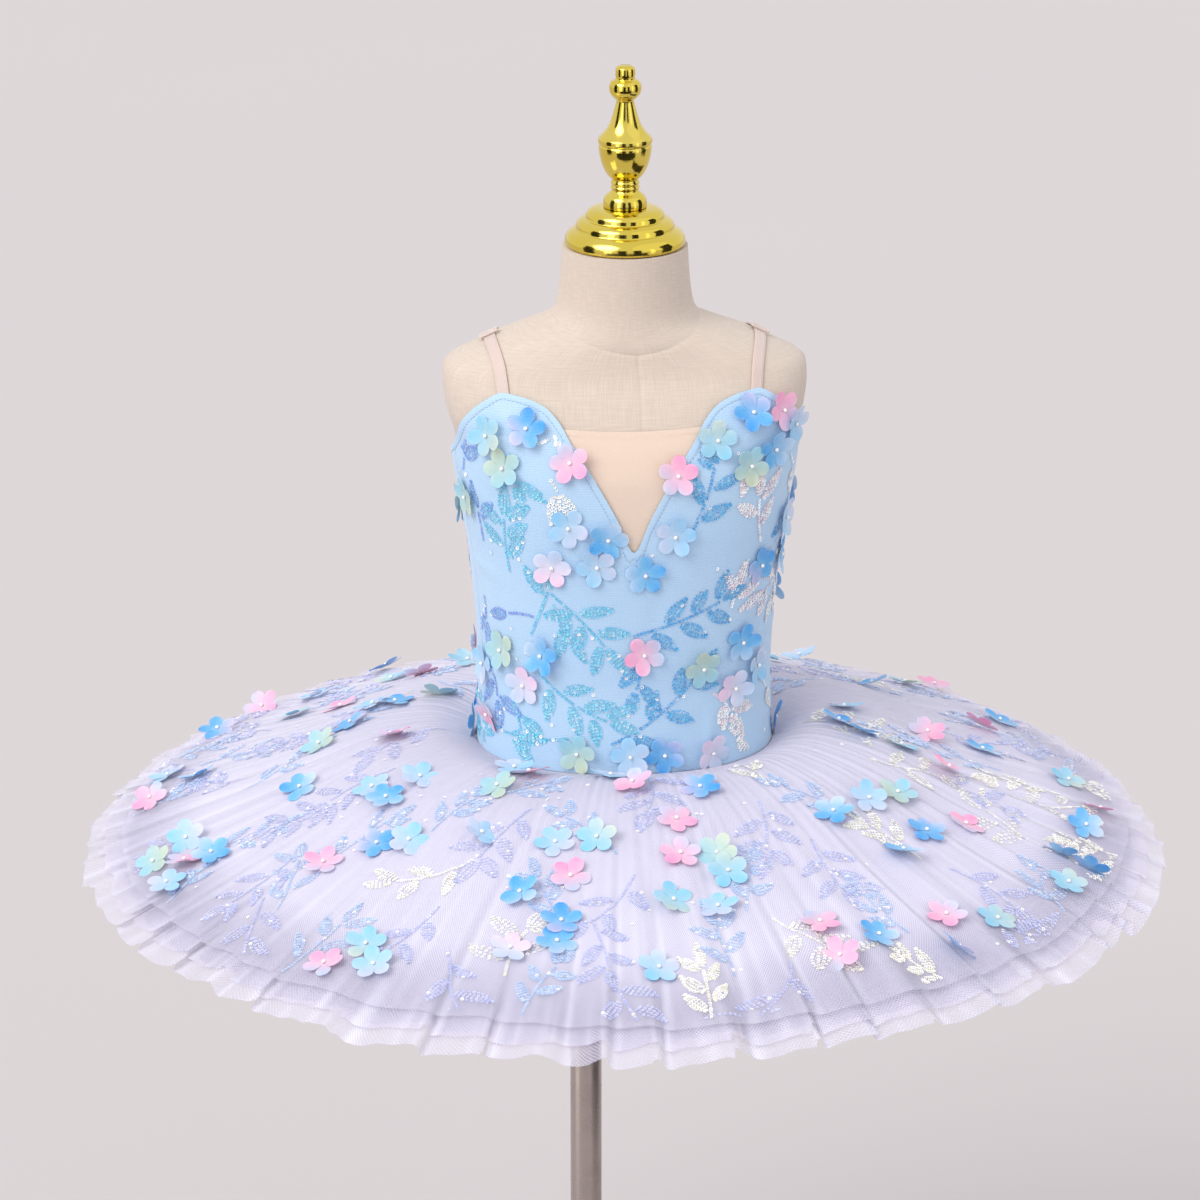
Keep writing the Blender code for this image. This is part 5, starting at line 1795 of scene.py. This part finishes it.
@dataclass
class Sequins:
    """Sprays of pointed leaves in rows of small sequins."""

    radius: float = 1.12 * MM
    pitch: float = 2.35 * MM
    flower_clearance: float = 7 * MM
    seed: int = 11
    front: tuple[Spray, ...] = tuple(Spray(*row) for row in (
        (-40, 92, 64, 36, 2, 6, TURQUOISE), (-31, 125, 322, 50, 5, -14, TURQUOISE),
        (-37, 106, 168, 22, 0, 26, VIOLET), (-30, 118, 288, 22, 1, 12, TURQUOISE),
        (-37, 68, 310, 54, 6, 28, TURQUOISE), (-50, 45, 296, 22, 0, -12, TURQUOISE), (-1, 96, 14, 60, 6, 8, OCEAN),
        (38, 108, 74, 6, 2, 0, ROSE), (3, 92, 278, 34, 2, -24, OCEAN), (-9, 20, 24, 70, 5, 26, OCEAN),
        (31, 52, 330, 20, 2, -30, ROSE), (50, 150, 116, 34, 3, -20, ROSE), (18, 160, 62, 50, 4, 20, OCEAN),
        (33, 216, 336, 16, 1, -30, ROSE), (-40, 218, 262, 20, 2, 20, TURQUOISE), (-30, 224, 6, 8, 1, 20, CREAM),
        (-27, 204, 290, 10, 1, 10, CREAM), (-47, 134, 96, 38, 5, -16, TURQUOISE), (-60, 150, 84, 20, 1, 10, VIOLET),
        (-64, 66, 292, 24, 2, -12, VIOLET), (-62, 22, 344, 22, 1, 18, TURQUOISE), (-66, 196, 76, 10, 1, 0, VIOLET),
        (-66, 112, 270, 16, 1, 0, VIOLET), (62, 206, 288, 4, 0, 0, CREAM), (66, 118, 280, 10, 1, 16, CREAM),
        (61, 52, 292, 10, 0, 10, CREAM), (39, 26, 306, 4, 0, 0, CREAM), (-24, 24, 196, 20, 1, -14, TURQUOISE),
        (-8, 182, 262, 12, 0, 8, CREAM), (68, 180, 276, 16, 1, 0, OCEAN),
    ))
    back_rows: int = 3
    skirt_rings: tuple[tuple[float, int], ...] = ((0.17, 9), (0.36, 15), (0.55, 21), (0.74, 26), (0.9, 30))

    def back(self) -> list[Spray]:
        """Sprays of the bodice's back, in staggered rows."""
        random = np.random.default_rng(self.seed)
        kinds = (OCEAN, TURQUOISE, ROSE, VIOLET, TURQUOISE)
        sprays = []
        for row in range(self.back_rows):
            for column in range(7):
                u = 90 + 29 * column + 12 * (row % 2)
                if u < 268:
                    sprays.append(Spray(u, 34 + 52 * row + random.uniform(-8, 8), random.uniform(200, 340),
                                        random.uniform(30, 50), int(random.integers(4, 7)),
                                        random.uniform(-28, 28), kinds[(row + column) % len(kinds)]))
        return sprays

    def skirt(self) -> list[Spray]:
        """Sprays of the overlay, in staggered rings; cream ones, a painted reflection of sequins that catch the
        light, gather at the viewer's right.
        """
        random = np.random.default_rng(self.seed + 1)
        sprays = []
        for share, count in self.skirt_rings:
            for number in range(count):
                u = -180 + (number + random.uniform(0.2, 0.8)) * 360 / count
                # Painted reflection: cream-white sprays, most of all near bearing 62, stand for sequins that reflect
                # the light there.
                glint_chance = 0.62 * math.exp(-((u - 62) / 42) ** 2) + 0.1
                kind = MILK if random.random() < glint_chance else (ICE, AQUA_ICE)[number % 2]
                heading = 180 * (number % 2) + 90 + random.uniform(-32, 32)
                start = share + (0.09 if number % 2 else -0.09) + random.uniform(-0.03, 0.03)
                sprays.append(Spray(u, start, heading, random.uniform(42, 54), int(random.integers(4, 6)),
                                    random.uniform(-34, 34), kind))
        return sprays

    def trace(self, spray: Spray, panel: Panel, unit: float, random: np.random.Generator) -> list[tuple]:
        """Where one spray's sequins go.

        Args:
            spray: The spray.
            panel: What it is sewn to.
            unit: The second coordinate's unit.
            random: Where small differences come from.

        Returns:
            Rows of (first coordinate, second coordinate, heading, red, green, blue).
        """
        found = []
        across, up = (float(value) for value in panel.scale(np.array(spray.u), np.array(spray.v * unit)))
        x = y = 0.0
        steps = max(4, round(spray.stem * MM / self.pitch))
        stations = {round((number + 1) * steps / (spray.leaves + 0.5)): number for number in range(spray.leaves)}
        heading = math.radians(spray.heading)
        for step in range(steps):
            heading += math.radians(spray.bend) / steps
            x += self.pitch * math.cos(heading)
            y += self.pitch * math.sin(heading)
            found.append((x, y, heading, 1.0))
            if step in stations:
                side = 1 if stations[step] % 2 else -1
                found += self.leaf(x, y, heading + side * random.uniform(0.6, 0.95), random)
        found += self.leaf(x, y, heading, random)
        first, second, bright = (np.array(value) for value in spray.glitter.value)
        rows = []
        for dx, dy, way, depth in found:
            share = random.uniform(0, 0.5) + 0.5 * (1 - depth)
            colour = (first + (second - first) * share) * random.uniform(0.85, 1.0)
            # Painted glints: a share of the sequins are coloured near white, as if they caught the light.
            if random.random() < bright:
                colour = np.array((1.0, 0.98, 0.95))
            rows.append((spray.u + dx / across, spray.v * unit + dy / up, way, *colour))
        return rows

    def leaf(self, x: float, y: float, heading: float, random: np.random.Generator) -> list[tuple]:
        """Rows of sequins that fill one pointed leaf."""
        length, width = random.uniform(18, 24) * MM, random.uniform(8.4, 10.6) * MM
        lines = max(2, round(width / self.pitch))
        found = []
        for line in range(lines):
            aside = (line + 0.5) / lines * 2 - 1
            count = max(3, round(length * (1 - 0.12 * abs(aside)) / self.pitch))
            for number in range(count):
                share = (number + 0.7) / (count + 0.4)
                swell = math.sin(math.pi * share ** 0.85)
                along, beside = 3 * MM + length * share, aside * width / 2 * swell
                found.append((x + along * math.cos(heading) - beside * math.sin(heading),
                              y + along * math.sin(heading) + beside * math.cos(heading), heading, abs(aside)))
        return found

    def sew(
        self, name: str, panel: Panel, sprays: Sequence[Spray], unit: float, keep: Callable[[Array, Array], Array],
        flowers: Array, finish: Sequin, stray_glints: int, span: tuple[Pair, Pair],
    ) -> None:
        """Make all sequins of one panel.

        Args:
            name: The piece's name.
            panel: What they are sewn to.
            sprays: The sprays.
            unit: The second coordinate's unit.
            keep: Tells which places lie on the panel.
            flowers: Where the flowers are; sequins right under one are left out.
            finish: The sequins' finish.
            stray_glints: How many single near-white sequins are scattered, as painted glints.
            span: The lowest and highest first coordinate of those, and second.
        """
        random = np.random.default_rng(self.seed + len(sprays))
        rows = [row for spray in sprays for row in self.trace(spray, panel, unit, random)]
        # Stray painted glints: single near-white sequins anywhere on the panel.
        for _ in range(stray_glints):
            rows.append((random.uniform(*span[0]), random.uniform(*span[1]), 0.0, 1.0, 0.98, 0.94))
        table = np.array(rows)
        table = table[keep(table[:, 0], table[:, 1])]
        origins, axes = panel.axes(table[:, 0], table[:, 1], table[:, 2])
        nearest = np.full(len(origins), 1.0)
        for flower in flowers:
            nearest = np.minimum(nearest, np.linalg.norm(origins - flower, axis=1))
        clear = (nearest > self.flower_clearance) & self.apart(origins)
        origins, axes, table = origins[clear], axes[clear], table[clear]
        axes = lean(axes, np.radians(random.uniform(2, 14, len(origins))), random.uniform(0, 6.28, len(origins)))
        # The near-white sequins, painted glints and the whitest tints, are drawn up to 15% wider.
        axes[:, :2] *= (1 + 0.15 * ease(0.9, 0.97, table[:, 3]))[:, None, None]
        shape, faces = self.disc()
        piece = copies(name, shape, faces, origins, axes, table[:, 3:6])
        piece.data.shade_smooth()
        dress(piece, finish.material())

    def apart(self, origins: Array) -> Array:
        """Which sequins don't lie on one before them, by small cells of space."""
        seen: dict[tuple[int, ...], None] = {}
        keep = np.ones(len(origins), bool)
        cells = np.floor(origins / (self.pitch * 0.75)).astype(int)
        for number, cell in enumerate(map(tuple, cells)):
            keep[number] = cell not in seen
            seen[cell] = None
        return keep

    def disc(self) -> tuple[Array, Array]:
        """A cupped six-sided disc with a hole: its points and faces."""
        turns = np.arange(6) * math.pi / 3
        ring = np.stack((np.cos(turns), np.sin(turns)), axis=1)
        rings = ((0.42, 0.4), (1.0, 0.62))
        shape = np.concatenate([
            np.column_stack((ring * self.radius * size, np.full(6, height * MM))) for size, height in rings
        ])
        return shape, np.array([(side, 6 + side, 6 + (side + 1) % 6, (side + 1) % 6) for side in range(6)])


@dataclass
class Stitches:
    """Short stitches in a row along an edge."""

    pitch: float = 2.7 * MM
    length: float = 1.9 * MM
    breadth: float = 0.42 * MM

    def sew(self, name: str, panel: Panel, u: Array, v: Array, finish: Material) -> None:
        """Sew along a line given by its coordinates on a panel.

        Args:
            name: The piece's name.
            panel: What is sewn.
            u: The line's first coordinates.
            v: The line's second coordinates.
            finish: The thread's material.
        """
        line = panel.place(u, v, np.zeros_like(u))
        run = run_along(line)
        at = np.arange(self.pitch, run[-1], self.pitch)
        here_u, here_v = np.interp(at, run, u), np.interp(at, run, v)
        origins, axes = panel.axes(here_u, here_v, np.zeros_like(at))
        along = np.stack([np.interp(at + 0.3 * MM, run, line[:, axis]) - np.interp(at - 0.3 * MM, run, line[:, axis])
                          for axis in range(3)], axis=1)
        along /= np.linalg.norm(along, axis=1, keepdims=True)
        out = axes[:, 2]
        side = np.cross(out, along)
        shape = []
        for x, breadth, height in ((-1, 0.5, 0.1), (-0.7, 1, 0.55), (0.7, 1, 0.55), (1, 0.5, 0.1)):
            for y, z in ((-0.5, 0), (0.5, 0), (0, 1)):
                shape.append((x * self.length / 2, y * self.breadth * breadth, z * height * self.breadth * 1.6))
        faces = []
        for ring in range(3):
            for corner in range(3):
                after = (corner + 1) % 3
                faces.append((ring * 3 + corner, ring * 3 + after, ring * 3 + 3 + after, ring * 3 + 3 + corner))
        piece = copies(name, np.array(shape), np.array(faces), origins, np.stack((along, side, out), axis=1))
        fill_holes(piece, 3)
        face_outwards(piece)
        piece.data.shade_smooth()
        dress(piece, finish)


# ---------------- the whole


def sew_bodice_trims(bodice: Bodice, stitches: Stitches, flowers: Flowers, sequins: Sequins) -> None:
    """Sew stitches, flowers and sequins to the bodice.

    Args:
        bodice: The bodice.
        stitches: The stitches' sizes.
        flowers: The flowers.
        sequins: The sequins.
    """
    panel = Panel(bodice.place, 0.05, 0.1 * MM)
    thread = Thread("blue_thread", linear(158, 182, 210)).material()
    inset = 3.75 * MM
    for name, start, end in (("front", -74.4, 74.4), ("back", 75.6, 284.4)):
        bearing = np.linspace(start, end, 400)
        height = bodice.edge_height(bearing) - inset * bodice.edge_stretch(bearing)
        stitches.sew(f"edge_stitches_{name}", panel, bearing, height, thread)

    def keep(u: Array, v: Array) -> Array:
        """Whether a place lies on the bodice, clear of its edges."""
        aside = np.abs(u) if np.max(u) < 80 else np.minimum(np.abs(u - 75), np.abs(285 - u)) + 75
        side = aside < 73.6 if np.max(u) < 80 else aside > 76.4
        return (v > 5 * MM) & (bodice.edge_height(u) - v > 6.5 * MM * bodice.edge_stretch(u)) & side

    finish = Sequin("sequins_colour", 0.04, 1.0)
    for name, rows, sprays, span in (
        ("front", flowers.front, sequins.front, ((-72, 72), (0.01, 0.24))),
        ("back", flowers.back, sequins.back(), ((78, 280), (0.01, 0.18))),
    ):
        places = flowers.sew(f"bodice_{name}", panel, rows, MM, 14)
        sequins.sew(f"bodice_{name}_sequins", panel, sprays, MM, keep, places, finish, 34, span)


def sew_skirt_trims(skirt: Skirt, flowers: Flowers, sequins: Sequins) -> None:
    """Sew flowers and sequins to the overlay.

    Args:
        skirt: The skirt.
        flowers: The flowers.
        sequins: The sequins.
    """
    overlay = skirt.layers[0]

    def place(u: Array, v: Array, lift: Array) -> Array:
        """A point over the overlay."""
        return skirt.point(overlay, u, v, lift)

    panel = Panel(place, 0.05, 0.002)
    places = flowers.sew("skirt", panel, flowers.skirt, 1.0, 26)

    def keep(u: Array, v: Array) -> Array:
        """Whether a place lies on the overlay, clear of its edge."""
        return (v > 0.07) & (v < skirt.edge(overlay, u) - 0.02)

    finish = Sequin("sequins_clear", 0.0, 0.9)
    span = (-180, 180), (0.12, 0.95)
    sequins.sew("skirt_sequins", panel, sequins.skirt(), 1.0, keep, places, finish, 150, span)


def main() -> None:
    """Build the studio, the form, the stand and the dress."""
    logging.basicConfig(level=logging.INFO, format="%(message)s")
    Studio().build()
    form = DressForm()
    form.build_body()
    form.build_brass()
    FloorStand().build()
    bodice = Bodice()
    made = bodice.build() + Brief().build()
    Straps().build()
    skirt = Skirt()
    made += skirt.build()
    flowers, sequins = Flowers(), Sequins()
    sew_bodice_trims(bodice, Stitches(), flowers, sequins)
    sew_skirt_trims(skirt, flowers, sequins)


if __name__ == "__main__":
    main()
